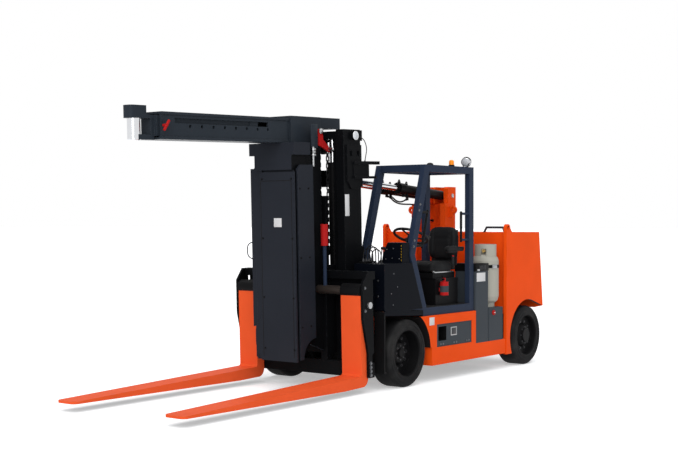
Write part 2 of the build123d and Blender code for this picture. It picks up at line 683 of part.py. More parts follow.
def counterweight():
    main = side_plate([
        (REAR_WALL_X, REAR_BELLY_Z), (REAR_WALL_X, REAR_TOP_Z), (REAR_TOP_X, REAR_TOP_Z),
        (REAR_LOW_X + 10, REAR_BELLY_Z),
    ], (-REAR_HALF, REAR_HALF))
    skin = side_plate([
        (REAR_FRONT_X, REAR_SKIRT_Z), (REAR_FRONT_X, REAR_TOP_Z), (REAR_TOP_X, REAR_TOP_Z),
        (REAR_LOW_X, REAR_LOW_Z),
        (STEER_X - 113, TYRE_R + 419), (STEER_X, TYRE_R), (STEER_X + 406, REAR_SKIRT_Z),
    ], (REAR_HALF - REAR_SKIN, REAR_HALF))
    skin = skin - cross_bar(STEER_X, TYRE_R, ARCH_R, (REAR_HALF - REAR_SKIN - 5, REAR_HALF + 5))
    skin_y = (REAR_HALF - REAR_SKIN, REAR_HALF)
    ear_x, ear_z = REAR_FRONT_X - EAR_R, REAR_TOP_Z + EAR_H - EAR_R
    ear = side_plate([
        (REAR_FRONT_X, REAR_TOP_Z - 5), (REAR_FRONT_X, ear_z), (REAR_FRONT_X - 2 * EAR_R, ear_z),
        (REAR_FRONT_X - EAR_BASE, REAR_TOP_Z - 5),
    ], skin_y)
    ear = ear + cross_bar(ear_x, ear_z, EAR_R, skin_y) - cross_bar(ear_x, ear_z, EAR_BORE_R, skin_y)
    apron = block(
        (REAR_WALL_X - 30, REAR_WALL_X), (CORE_HALF, REAR_HALF - REAR_SKIN), (APRON_REAR_Z, REAR_BELLY_Z))
    bumper = front_plate([
        (0, BUMPER_Z), (REAR_HALF - 105, BUMPER_Z), (REAR_HALF, REAR_LOW_Z), (REAR_HALF, REAR_BELLY_Z),
        (0, REAR_BELLY_Z),
    ], (REAR_LOW_X + 11, REAR_LOW_X + 11 + BUMPER_T))
    core = block((CORE_REAR_X, REAR_WALL_X), (-CORE_HALF, CORE_HALF), (STEER_BEAM_TOP_Z, REAR_BELLY_Z))
    body = main + both(skin + ear + apron + bumper) + core
    pocket = block((REAR_LOW_X - 50, REAR_LOW_X + 95), (-330, 330), (880, 1180))
    return body - pocket + rear_handle()


def slide_rails():
    half = SLEEVE / 2 - SLEEVE_WALL - RAIL_CLEAR
    mid_y = WEB_IN_Y - SLEEVE / 2
    rail = block(
        (REAR_WALL_X, RAIL_FRONT_X), (mid_y - half, mid_y + half), (SLEEVE_Z - half, SLEEVE_Z + half))
    pad = half + RAIL_CLEAR - RUN_GAP
    rail = rail + block(
        (RAIL_FRONT_X - 120, RAIL_FRONT_X), (mid_y - pad, mid_y + pad), (SLEEVE_Z - pad, SLEEVE_Z + pad))
    core = half - 14
    rail = rail - block(
        (REAR_WALL_X + 30, RAIL_FRONT_X), (mid_y - core, mid_y + core), (SLEEVE_Z - core, SLEEVE_Z + core))
    return pair(rail)


def steer_axle():
    bx, by, bz = STEER_BEAM
    z1 = STEER_BEAM_TOP_Z
    z0 = z1 - bz
    beam = block((STEER_X - bx / 2, STEER_X + bx / 2), (-by / 2, by / 2), (z0, z1))
    top_jaw = KNUCKLE_H / 2 + 4
    for low in (TYRE_R + top_jaw, TYRE_R - top_jaw - JAW_T):
        jaw = Solid.make_cylinder(JAW_R, JAW_T, Plane((STEER_X, KINGPIN_Y, low)))
        jaw = jaw + block((STEER_X - JAW_R, STEER_X + JAW_R), (by / 2 - 20, KINGPIN_Y), (low, low + JAW_T))
        beam = beam + both(jaw)
    pin_h = KNUCKLE_H + 2 * JAW_T + 20
    pin = Solid.make_cylinder(KINGPIN_R, pin_h, Plane((STEER_X, KINGPIN_Y, TYRE_R - pin_h / 2)))
    saddle = block(
        (STEER_X - SADDLE[0] / 2, STEER_X + SADDLE[0] / 2), (CORE_HALF, CORE_HALF + SADDLE[1]),
        (2 * TYRE_R + SADDLE_CLEAR, REAR_BELLY_Z))
    return beam + both(pin) + both(saddle)


def knuckle():
    low = TYRE_R - KNUCKLE_H / 2
    boss = Solid.make_cylinder(KNUCKLE_R, KNUCKLE_H, Plane((STEER_X, KINGPIN_Y, low)))
    neck = cross_bar(STEER_X, TYRE_R, KNUCKLE_H / 2 - 4, (KINGPIN_Y, TYRE_FACE_Y - TYRE_W - 6))
    spindle = cross_bar(STEER_X, TYRE_R, SPINDLE_R, (TYRE_FACE_Y - TYRE_W - 8, 800))
    body = boss + neck + spindle
    return body - Solid.make_cylinder(KINGPIN_R + RUN_GAP, 300, Plane((STEER_X, KINGPIN_Y, TYRE_R - 150)))


def rear_handle():
    x = REAR_WALL_X - 75
    z = REAR_TOP_Z + 58
    rail = bar((x, 548, z), (x, 772, z), 13)
    for foot_y, top_y in ((511, 548), (795, 772)):
        rail = rail + bar((x, foot_y, REAR_TOP_Z - 5), (x, top_y, z), 13) + Pos(x, top_y, z) * Sphere(13)
    return rail


def outer_mast():
    flange_y = (FLANGE_Y, MAST_OUT_Y)
    height = (MAST_FOOT_Z, MAST_TOP_Z)
    rail = block((MAST_REAR_X, MAST_FRONT_X), (MAST_OUT_Y - WEB_T, MAST_OUT_Y), height)
    rail = rail + block((MAST_REAR_X, MAST_REAR_X + FLANGE), flange_y, height)
    rail = rail + block((MAST_FRONT_X - FLANGE, MAST_FRONT_X), flange_y, height)
    lug = side_plate([
        (MAST_REAR_X + 10, 190), (MAST_REAR_X + 10, 560), (120, 560), (-100, 455), (-LUG_R, 400),
        (-LUG_R, 310), (-100, 255), (110, 190),
    ], LUG_Y)
    lug = lug - cross_bar(0, TYRE_R, AXLE_R + RUN_GAP, (LUG_Y[0] - 5, LUG_Y[1] + 5))
    low, high = YOKE_Z
    stay = side_plate([
        (STAY_X[0], STAY_Z[1]), (STAY_X[1], STAY_Z[1]), (STAY_X[1], STAY_Z[0] + 90),
        (STAY_X[1] - 70, STAY_Z[0]),
        (STAY_X[0] + 70, STAY_Z[0]), (STAY_X[0], STAY_Z[0] + 90),
    ], (MAST_OUT_Y, MAST_OUT_Y + STAY_T))
    for hole_x in (STAY_X[0] + 65, STAY_X[1] - 65):
        stay = stay - block((hole_x - 24, hole_x + 24), (MAST_OUT_Y, MAST_OUT_Y + STAY_T), (2425, 2485))
    yoke = block(YOKE_BOX_X, (MAST_OUT_Y, YOKE_Y[1] - 14), (low, high))
    middle = (YOKE_Y[0] + YOKE_Y[1]) / 2
    plates = (
        (high - YOKE_PLATE, high, YOKE_TAIL_X),
        (low, low + YOKE_PLATE - 8, YOKE_TAIL_X + 60),
    )
    for z0, z1, tail in plates:
        arm = block((tail, MAST_REAR_X), YOKE_Y, (z0, z1))
        arm = arm + block((MAST_REAR_X, YOKE_BOX_X[1]), (MAST_OUT_Y, YOKE_Y[1]), (z0, z1))
        arm = arm + Solid.make_cylinder((YOKE_Y[1] - YOKE_Y[0]) / 2, z1 - z0, Plane((tail, middle, z0)))
        yoke = yoke + arm - Solid.make_cylinder(20, z1 - z0, Plane((tail, middle, z0)))
    cheek = stay + yoke
    foot = block((MAST_REAR_X, 420), (0, MAST_OUT_Y - WEB_T), (MAST_FOOT_Z, MAST_FOOT_Z + 25))
    half = rail + lug + cheek + foot
    for z0, z1 in ((230, 330), (1380, 1480), (2110, 2290), (2590, 2700)):
        half = half + block((MAST_REAR_X - CROSS_T, MAST_REAR_X), (0, MAST_OUT_Y), (z0, z1))
    px, pz = TILT_FRONT_X, TILT_FRONT_Z
    for y0 in (TILT_Y - TILT_EYE_HALF - 26, TILT_Y + TILT_EYE_HALF + 6):
        lobe = cross_bar(px, pz, 46, (y0, y0 + 20))
        lobe = lobe + block((px, MAST_REAR_X - CROSS_T), (y0, y0 + 20), (pz - 46, pz + 46))
        half = half + lobe
    half = half + cross_bar(px, pz, TILT_PIN_R, (TILT_Y - TILT_EYE_HALF - 26, TILT_Y + TILT_EYE_HALF + 26))
    half = half + block((MAST_REAR_X, SHEAVE_X - SHEAVE_R + 14), (CHAIN_Y - 26, CHAIN_Y + 26),
        (CHAIN_REAR_Z - 45, CHAIN_REAR_Z))
    return LEAN * (both(half) + mast_lamp())


def lift_barrels():
    foot = MAST_FOOT_Z + 25
    barrel = bar((LIFT_X, LIFT_Y, foot), (LIFT_X, LIFT_Y, LIFT_BARREL_TOP_Z), LIFT_BARREL_R)
    collar = bar((LIFT_X, LIFT_Y, LIFT_BARREL_TOP_Z - 70), (LIFT_X, LIFT_Y, LIFT_BARREL_TOP_Z + 20),
        LIFT_BARREL_R + 6)
    bore = bar((LIFT_X, LIFT_Y, LIFT_ROD_FOOT_Z - 100), (LIFT_X, LIFT_Y, LIFT_BARREL_TOP_Z + 40),
        LIFT_ROD_R + 1)
    return LEAN * pair(barrel + collar - bore)


def inner_mast():
    x0 = MAST_REAR_X + FLANGE + INNER_CLEAR
    x1 = MAST_FRONT_X - FLANGE - INNER_CLEAR
    out = MAST_OUT_Y - WEB_T - INNER_CLEAR - 1
    height = (INNER_FOOT_Z, INNER_TOP_Z)
    rail = block((x0, x1), (INNER_WEB_Y, INNER_WEB_Y + INNER_WEB_T), height)
    rail = rail + block((x0, x0 + FLANGE), (INNER_IN_Y, out), height)
    rail = rail + block((x1 - FLANGE, x1), (INNER_IN_Y, out), height)
    head = block((x0, x1), (0, INNER_WEB_Y), (CROSSHEAD_Z, INNER_TOP_Z))
    tie = block((x0, x0 + FLANGE), (0, INNER_IN_Y), (INNER_FOOT_Z + 10, INNER_FOOT_Z + 80))
    half = rail + head + tie
    sheave = cross_bar(SHEAVE_X, SHEAVE_Z, SHEAVE_R, (CHAIN_Y - CHAIN_W / 2, CHAIN_Y + CHAIN_W / 2))
    pin = cross_bar(SHEAVE_X, SHEAVE_Z, 18, (CHAIN_Y - 40, CHAIN_Y + 40))
    half = half + sheave + pin
    for y0 in (CHAIN_Y - 40, CHAIN_Y + 26):
        half = half + block((SHEAVE_X - 30, SHEAVE_X + 30), (y0, y0 + 14), (SHEAVE_Z - 30, CROSSHEAD_Z))
    return LEAN * both(half)


def lift_rods():
    rod = bar((LIFT_X, LIFT_Y, LIFT_ROD_FOOT_Z), (LIFT_X, LIFT_Y, CROSSHEAD_Z), LIFT_ROD_R)
    return LEAN * pair(rod)


def lift_chains():
    y = (CHAIN_Y - CHAIN_W / 2, CHAIN_Y + CHAIN_W / 2)
    r = SHEAVE_R + CHAIN_T
    loop = cross_bar(SHEAVE_X, SHEAVE_Z, r, y)
    loop = loop - block((SHEAVE_X - r, SHEAVE_X + r), y, (SHEAVE_Z - r, SHEAVE_Z))
    front = block((SHEAVE_X + SHEAVE_R, SHEAVE_X + r), y, (CHAIN_FOOT_Z, SHEAVE_Z))
    back = block((SHEAVE_X - r, SHEAVE_X - SHEAVE_R), y, (CHAIN_REAR_Z, SHEAVE_Z))
    chain = loop + front + back - cross_bar(SHEAVE_X, SHEAVE_Z, SHEAVE_R, y)
    return LEAN * pair(chain)


def mast_lamp():
    body = bar((305, MAST_OUT_Y, 2640), (305, MAST_OUT_Y + 42, 2640), 45)
    return body


def carriage():
    bars = block((CAR_REAR_X, CAR_BACK_X), (CAR_IN_Y, CAR_OUT_Y), (CAR_LOW_Z, CAR_HIGH_Z))
    for z in (CAR_LOW_Z + 95, CAR_HIGH_Z - 95):
        bars = bars + cross_bar(ROLLER_X, z, ROLLER_R, (CAR_OUT_Y, CAR_OUT_Y + 62))
    back = block((CAR_BACK_X, CAR_FACE_X), (0, CAR_OUT_Y), (CAR_LOW_Z, CAR_HIGH_Z))
    back = back - block((CAR_BACK_X, CAR_FACE_X), (0, CHEEK_Y[0] - 30), (CAR_LOW_Z + 150, CAR_HIGH_Z - 250))
    upright = block((CAR_FACE_X, CAR_BAR_X), (CHEEK_Y[0], CAR_OUT_Y), (LOW_BAR_Z[0], TOP_BAR_Z[1]))
    top = block((CAR_FACE_X, CAR_BAR_X), (0, END_OUT_Y), TOP_BAR_Z)
    low = block((CAR_FACE_X, CAR_BAR_X), (0, END_IN_Y), LOW_BAR_Z)
    end = side_plate([
        (560, TOP_BAR_Z[1]), (640, TOP_BAR_Z[1]), (735, 1130), (735, 780), (655, 430), (655, 180),
        (590, 180), (590, 400), (560, 430),
    ], (END_IN_Y, END_OUT_Y))
    anchor = block(
        (SHEAVE_X + SHEAVE_R, CAR_BACK_X), (CHAIN_Y - 26, CHAIN_Y + 26), (CHAIN_FOOT_Z - 40, CHAIN_FOOT_Z))
    riser = block((CAR_BACK_X, CAR_FACE_X), RISER_Y, (CAR_HIGH_Z, RISER_TOP_Z))
    strip = block((CAR_FACE_X, CAR_FACE_X + 16), (CAR_OUT_Y, END_IN_Y), (SHAFT_Z - 70, TOP_BAR_Z[0]))
    pin_x, pin_z, pin_r = PIN_END
    end = end + cross_bar(pin_x, pin_z, pin_r, (END_OUT_Y, END_OUT_Y + 18))
    return LEAN * both(bars + back + upright + top + low + end + anchor + riser + strip)


def carriage_rods():
    shaft = cross_bar(SHAFT_X, SHAFT_Z, SHAFT_R, (-END_IN_Y, END_IN_Y))
    post = bar((SHAFT_X, 330, SHAFT_Z + SHAFT_R - 6), (SHAFT_X, 330, 1510), 20)
    return LEAN * (shaft + post)


def fork():
    z = FORK_TOP_Z
    back = FORK_FRONT_X - FORK_T
    sole = z - FORK_T
    outline = [
        (back, FORK_SHANK_TOP_Z), (FORK_FRONT_X, FORK_SHANK_TOP_Z), (FORK_FRONT_X, z), (FORK_TIP_X, z),
        (FORK_TIP_X, z - FORK_TIP_T), (FORK_FRONT_X + 280, sole), (back, sole),
    ]
    body = side_plate(outline, (FORK_IN_Y, FORK_OUT_Y))
    across = body.edges().filter_by(Axis.Y)
    heel = across.sort_by_distance((back, 0, sole))[0]
    body = fillet(heel, FORK_HEEL_R)
    bend_at = (FORK_FRONT_X, (FORK_IN_Y + FORK_OUT_Y) / 2, z)
    crook = body.edges().filter_by(Axis.Y).sort_by_distance(bend_at)[0]
    body = fillet(crook, 26)
    tip = body.edges().filter_by(Axis.Z).sort_by(Axis.X)[-2:]
    return fillet(tip, 55)


def fork_eye():
    y = (FORK_IN_Y, FORK_OUT_Y)
    back = FORK_FRONT_X - FORK_T
    eye = cross_bar(SHAFT_X, SHAFT_Z, FORK_EYE_R, y)
    eye = eye + block((back, FORK_FRONT_X), y, (FORK_SHANK_TOP_Z, SHAFT_Z))
    return eye - cross_bar(SHAFT_X, SHAFT_Z, SHAFT_R + RUN_GAP, y)


def boom_column():
    x0, x1 = COLUMN_X
    z0, z1 = COLUMN_Z
    w = COLUMN_WALL
    core = COLUMN_CORE
    box = side_plate([(x0, z0 + 140), (x1 - 70, z0), (x1, z0), (x1, z1), (x0, z1)], (-core, core))
    inner = [(x0 + w, z0 + 140 + w), (x1 - 70, z0 + w), (x1 - w, z0 + w), (x1 - w, z1 - w),
        (x0 + w, z1 - w)]
    box = box - side_plate(inner, (-core + w, core - w))
    cheek = side_plate([
        (CAR_BAR_X, 420), (x0, 520), (x0, z1), (840, BOOM_Z[0]), (CAR_BAR_X, BOOM_Z[0]),
    ], CHEEK_Y) - cross_bar(SHAFT_X, SHAFT_Z, SHAFT_R, (CHEEK_Y[0] - 5, CHEEK_Y[1] + 5))
    spacer = block((x1, COVER_X), (-CHEEK_Y[1], CHEEK_Y[1]), (z0 + 40, z1 - 40))
    neck = block((x0 + 20, COVER_X + 12), (-NECK_HALF, core), (z1, NECK_TOP_Z))
    seat_block = block((840, COVER_X + 12), (-COLUMN_HALF, COLUMN_HALF), (NECK_TOP_Z, BOOM_Z[0]))
    front = spacer + column_wing() + column_cover()
    return LEAN * (box + both(cheek + column_side()) + neck + seat_block + front)


def column_side():
    x0, x1 = SIDE_X
    low, high = COLUMN_Z[0] + 15, COLUMN_Z[1] + 50
    y = (COLUMN_HALF - SIDE_T, COLUMN_HALF)
    panel = block(SIDE_X, y, (low, high)) - cross_bar(x0, low, SIDE_CUT_R, y)
    shoulder = panel.edges().filter_by(Axis.Y).sort_by_distance((x1, COLUMN_HALF, high))[0]
    panel = chamfer(shoulder, 45)
    return panel + block((COLUMN_X[0] + 20, x1 - 30), (COLUMN_CORE, y[0]), (low + 300, COLUMN_Z[1] - 20))


def column_wing():
    low, high = WING_Z
    half, inner = COLUMN_HALF, WING_IN_Y
    return front_plate([
        (-half, low), (-half, high), (-inner, high), (-inner, low + 140), (-inner - 50, low + 50),
        (-half + 50, low + 10),
    ], (COLUMN_X[1], COVER_X - 4))


def column_cover():
    half = COLUMN_HALF
    top = COLUMN_Z[1] - 20
    low = COLUMN_Z[0]
    lobe = half - 50
    plate = front_plate([
        (half, low), (half, top), (-WING_IN_Y - 10, top), (-WING_IN_Y - 10, low + 445), (-lobe, low + 335),
        (-lobe, low + 145), (-lobe + 80, low),
    ], (COVER_X, COVER_X + COVER_T))
    bends = plate.edges().filter_by(Axis.X).filter_by_position(Axis.Z, low + 100, low + 500)
    return fillet(bends.filter_by_position(Axis.Y, -half, -WING_IN_Y), 140)


def boom_outer():
    z0, z1 = BOOM_Z
    h = BOOM_HALF
    w = BOOM_WALL
    tube = block((BOOM_ROOT_X, BOOM_END_X), (-h, h), BOOM_Z)
    for a, b in ((z0, z0 + BOOM_STRIP_H), (z1 - BOOM_STRIP_H, z1)):
        tube = tube + block((BOOM_ROOT_X, BOOM_END_X), (-h - BOOM_STRIP, h + BOOM_STRIP), (a, b))
    tube = tube - block((BOOM_ROOT_X + 30, BOOM_END_X), (-h + w, h - w), (z0 + w, z1 - w))
    root = block((475, BOOM_ROOT_X), (-h - 25, h + 25), (z0, z1 + 24))
    tail = block((105, 475), (-h, h), (z1 - 91, z1 + 24))
    boom = tube + root + tail
    for i in range(HOLE_COUNT):
        x = HOLE_FIRST_X - i * HOLE_PITCH
        boom = boom - cross_bar(x, HOLE_Z, HOLE_R, (-h - 5, h + 5))
    boom = boom - block(SLOT_X, (-h - 5, h + 5), SLOT_Z)
    return LEAN * boom


def red_locks():
    y = CHEEK_Y[1]
    lever = side_plate([(590, 2710), (640, 2710), (640, 2540), (605, 2530), (470, 2470), (455, 2505),
        (575, 2600)], (y, y + 22))
    grip_y = BOOM_HALF + 42
    handle = bar((HANDLE_X, BOOM_HALF, HOLE_Z), (HANDLE_X, BOOM_HALF + 50, HOLE_Z), 14)
    handle = handle + bar((HANDLE_X + 32, grip_y, HOLE_Z - 45), (HANDLE_X - 32, grip_y, HOLE_Z + 45), 13)
    block_red = bar((SHAFT_X, 330, 1510), (SHAFT_X, 330, 1730), 38)
    return LEAN * Compound([lever, handle, block_red])


def boom_inner():
    g = BOOM_GAP + BOOM_WALL
    h = BOOM_HALF - g
    z0, z1 = BOOM_Z[0] + g, BOOM_Z[1] - g
    tube = block(BOOM_INNER_X, (-h, h), (z0, z1))
    pad = BOOM_GAP - RUN_GAP
    tube = tube + block((BOOM_INNER_X[0], BOOM_INNER_X[0] + 120), (-h - pad, h + pad), (z0 - pad, z1 + pad))
    tube = tube - block((BOOM_INNER_X[0], BOOM_INNER_X[1] - 25), (-h + 14, h - 14), (z0 + 14, z1 - 14))
    x = BOOM_INNER_X[1]
    head = block((x, HEAD_X[0] + 80), (-HEAD_HALF, HEAD_HALF), (HEAD_Z[0], z1))
    nose = block(HEAD_X, (-HEAD_HALF, HEAD_HALF), HEAD_Z)
    head = head + fillet(nose.edges().filter_by(Axis.Z).sort_by(Axis.X)[-2:], 45)
    shelf = block((x, SWIVEL_X), (-HEAD_HALF, HEAD_HALF), (BOOM_Z[0] - 4, BOOM_Z[0] + 42))
    shelf = shelf - bar((SWIVEL_X, 0, BOOM_Z[0] - 10), (SWIVEL_X, 0, BOOM_Z[0] + 50), SWIVEL_R)
    tongue = block((x, x + 40), (-HEAD_HALF, HEAD_HALF), (BOOM_Z[0], HEAD_Z[0]))
    head = head + tongue
    return LEAN * (tube + head + shelf)


def boom_swivel():
    post = bar((SWIVEL_X, 0, SWIVEL_FOOT_Z), (SWIVEL_X, 0, HEAD_Z[0]), SWIVEL_R)
    post = chamfer(post.edges().filter_by(GeomType.CIRCLE).sort_by(Axis.Z)[:1], 8)
    return LEAN * post


def guard_lamps():
    y = CAB_OUT_Y - GUARD_TUBE_Y / 2
    beacon = Solid.make_cylinder(32, 70, Plane((-940, y, GUARD_TOP_Z)))
    lamp = bar((-1300, y, GUARD_TOP_Z + 62), (-1215, y, GUARD_TOP_Z + 62), 62)
    return Compound([beacon, lamp])


def extinguisher():
    bottle = Solid.make_cylinder(48, 150, Plane((-840, SEAT_Y + 248, 920)))
    clip = block((-870, -810), (SEAT_Y + 200, SEAT_Y + 225), (960, 1000))
    return bottle + clip + Solid.make_cylinder(18, 45, Plane((-840, SEAT_Y + 248, 1065)))


left_tyre = tyre(0)
left_rim = rim(0, 735, 806, 112, 46, 772)
steer_tyre = tyre(STEER_X)
steer_rim = rim(STEER_X, 800, 872, 118, 84, 815)
left_fork = LEAN * (fork() + fork_eye())
left_knuckle = knuckle()

PARTS = {
    "main_frame": main_frame(),
    "drive_axle": drive_axle(),
    "side_cabinets": side_cabinets(),
    "lp_tank": lp_tank(),
    "cab_floor": cab_floor(),
    "front_guards": front_guards(),
    "front_cowl": front_cowl(),
    "hydraulic_tank": hydraulic_tank(),
    "overhead_guard": overhead_guard(),
    "guard_lamps": guard_lamps(),
    "seat": seat(),
    "extinguisher": extinguisher(),
    "engine_block": engine_block(),
    "engine_hood": engine_hood(),
    "tilt_tower": tilt_tower(),
    "steering_wheel": steering_wheel(),
    "drive_tyre_left": left_tyre,
    "drive_tyre_right": mirror(left_tyre, Plane.XZ),
    "drive_rim_left": left_rim,
    "drive_rim_right": mirror(left_rim, Plane.XZ),
    "counterweight": counterweight(),
    "slide_rails": slide_rails(),
    "steer_axle": steer_axle(),
    "knuckle_left": left_knuckle,
    "knuckle_right": mirror(left_knuckle, Plane.XZ),
    "steer_tyre_left": steer_tyre,
    "steer_tyre_right": mirror(steer_tyre, Plane.XZ),
    "steer_rim_left": steer_rim,
    "steer_rim_right": mirror(steer_rim, Plane.XZ),
    "outer_mast": outer_mast(),
    "lift_barrels": lift_barrels(),
    "inner_mast": inner_mast(),
    "lift_rods": lift_rods(),
    "lift_chains": lift_chains(),
    "carriage": carriage(),
    "carriage_rods": carriage_rods(),
    "boom_column": boom_column(),
    "boom_outer": boom_outer(),
    "red_locks": red_locks(),
    "fork_left": left_fork,
    "fork_right": mirror(left_fork, Plane.XZ),
    "boom_inner": boom_inner(),
    "boom_swivel": boom_swivel(),
    "tilt_barrels": tilt_barrels(),
    "tilt_rods": tilt_rods(),
}

boxes = [shape.bounding_box() for shape in PARTS.values()]
ORIGIN_X = (min(b.min.X for b in boxes) + max(b.max.X for b in boxes)) / 2
for name, shape in PARTS.items():
    export_step(Pos(-ORIGIN_X, 0, 0) * shape, f"parts/{name}.step")
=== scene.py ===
import math

import bmesh
import bpy
from mathutils import Matrix, Vector


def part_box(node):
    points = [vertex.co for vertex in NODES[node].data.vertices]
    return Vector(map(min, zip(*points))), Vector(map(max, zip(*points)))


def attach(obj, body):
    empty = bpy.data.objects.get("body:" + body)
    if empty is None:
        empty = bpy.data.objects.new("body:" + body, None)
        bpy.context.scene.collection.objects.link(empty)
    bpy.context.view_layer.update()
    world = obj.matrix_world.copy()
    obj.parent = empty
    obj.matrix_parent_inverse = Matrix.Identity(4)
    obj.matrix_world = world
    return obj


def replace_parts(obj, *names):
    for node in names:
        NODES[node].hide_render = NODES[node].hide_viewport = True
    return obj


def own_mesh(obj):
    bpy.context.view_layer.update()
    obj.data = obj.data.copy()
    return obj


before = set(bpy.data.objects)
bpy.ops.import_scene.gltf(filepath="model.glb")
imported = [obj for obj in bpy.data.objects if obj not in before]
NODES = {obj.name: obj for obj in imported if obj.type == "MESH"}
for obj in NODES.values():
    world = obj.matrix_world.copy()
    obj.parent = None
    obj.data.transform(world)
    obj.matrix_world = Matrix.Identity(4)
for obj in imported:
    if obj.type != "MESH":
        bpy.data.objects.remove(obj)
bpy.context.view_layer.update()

MM = 0.001

# The truck's own places: millimetres forward of the drive axle, to the left, and up
MAST_TILT = math.radians(1.8)


def axle_of(tyre):
    low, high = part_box(tyre)
    return (low + high) / 2


AXLE_X = axle_of("drive_tyre_left").x
AXLE_Z = axle_of("drive_tyre_left").z
STEER_X = axle_of("steer_tyre_left").x


def at(x, y, z):
    return Vector((AXLE_X + x * MM, y * MM, z * MM))


def on_mast(x, y, z):
    """The same for a place that leans with the mast, given as if the mast stood upright."""
    rise = z * MM - AXLE_Z
    run = x * MM
    c, s = math.cos(MAST_TILT), math.sin(MAST_TILT)
    return Vector((AXLE_X + run * c + rise * s, y * MM, AXLE_Z + rise * c - run * s))


FORE = Vector((1, 0, 0))
LEFT = Vector((0, 1, 0))
UP = Vector((0, 0, 1))
MAST_FORE = Vector((math.cos(MAST_TILT), 0, -math.sin(MAST_TILT)))
MAST_UP = Vector((math.sin(MAST_TILT), 0, math.cos(MAST_TILT)))
UPRIGHT = (FORE, LEFT, UP)
LEANED = (MAST_FORE, LEFT, MAST_UP)
ON_SIDE = (FORE, UP, LEFT)
ON_MAST_SIDE = (MAST_FORE, MAST_UP, LEFT)
ON_COLUMN_FACE = (LEFT, MAST_UP, MAST_FORE)
SIDES = (("left", 1), ("right", -1))


# Shared shader effects

def new_group(name, inputs, outputs):
    group = bpy.data.node_groups.new(name, "ShaderNodeTree")
    for label, kind, value in inputs:
        socket = group.interface.new_socket(label, in_out="INPUT", socket_type=kind)
        socket.default_value = value
    for label, kind in outputs:
        group.interface.new_socket(label, in_out="OUTPUT", socket_type=kind)
    return group, group.nodes.new("NodeGroupInput"), group.nodes.new("NodeGroupOutput")


def add(tree, kind, **values):
    node = tree.nodes.new(kind)
    for key, value in values.items():
        setattr(node, key, value)
    return node


def ramp(tree, source, low, high):
    node = add(tree, "ShaderNodeMapRange", interpolation_type="SMOOTHSTEP")
    node.inputs["From Min"].default_value = low
    node.inputs["From Max"].default_value = high
    tree.links.new(source, node.inputs["Value"])
    return node.outputs["Result"]


def mix_colour(tree, factor, a, b):
    node = add(tree, "ShaderNodeMix", data_type="RGBA")
    tree.links.new(factor, node.inputs["Factor"])
    for source, socket in ((a, node.inputs[6]), (b, node.inputs[7])):
        tree.links.new(source, socket)
    return node.outputs[2]


def calc(tree, operation, a, b):
    node = add(tree, "ShaderNodeMath", operation=operation)
    for i, source in enumerate((a, b)):
        if isinstance(source, (int, float)):
            node.inputs[i].default_value = source
        else:
            tree.links.new(source, node.inputs[i])
    return node.outputs[0]


def noise(tree, place, scale, detail):
    node = add(tree, "ShaderNodeTexNoise")
    if isinstance(scale, (int, float)):
        node.inputs["Scale"].default_value = scale
    else:
        tree.links.new(scale, node.inputs["Scale"])
    node.inputs["Detail"].default_value = detail
    tree.links.new(place, node.inputs["Vector"])
    return node.outputs["Fac"]


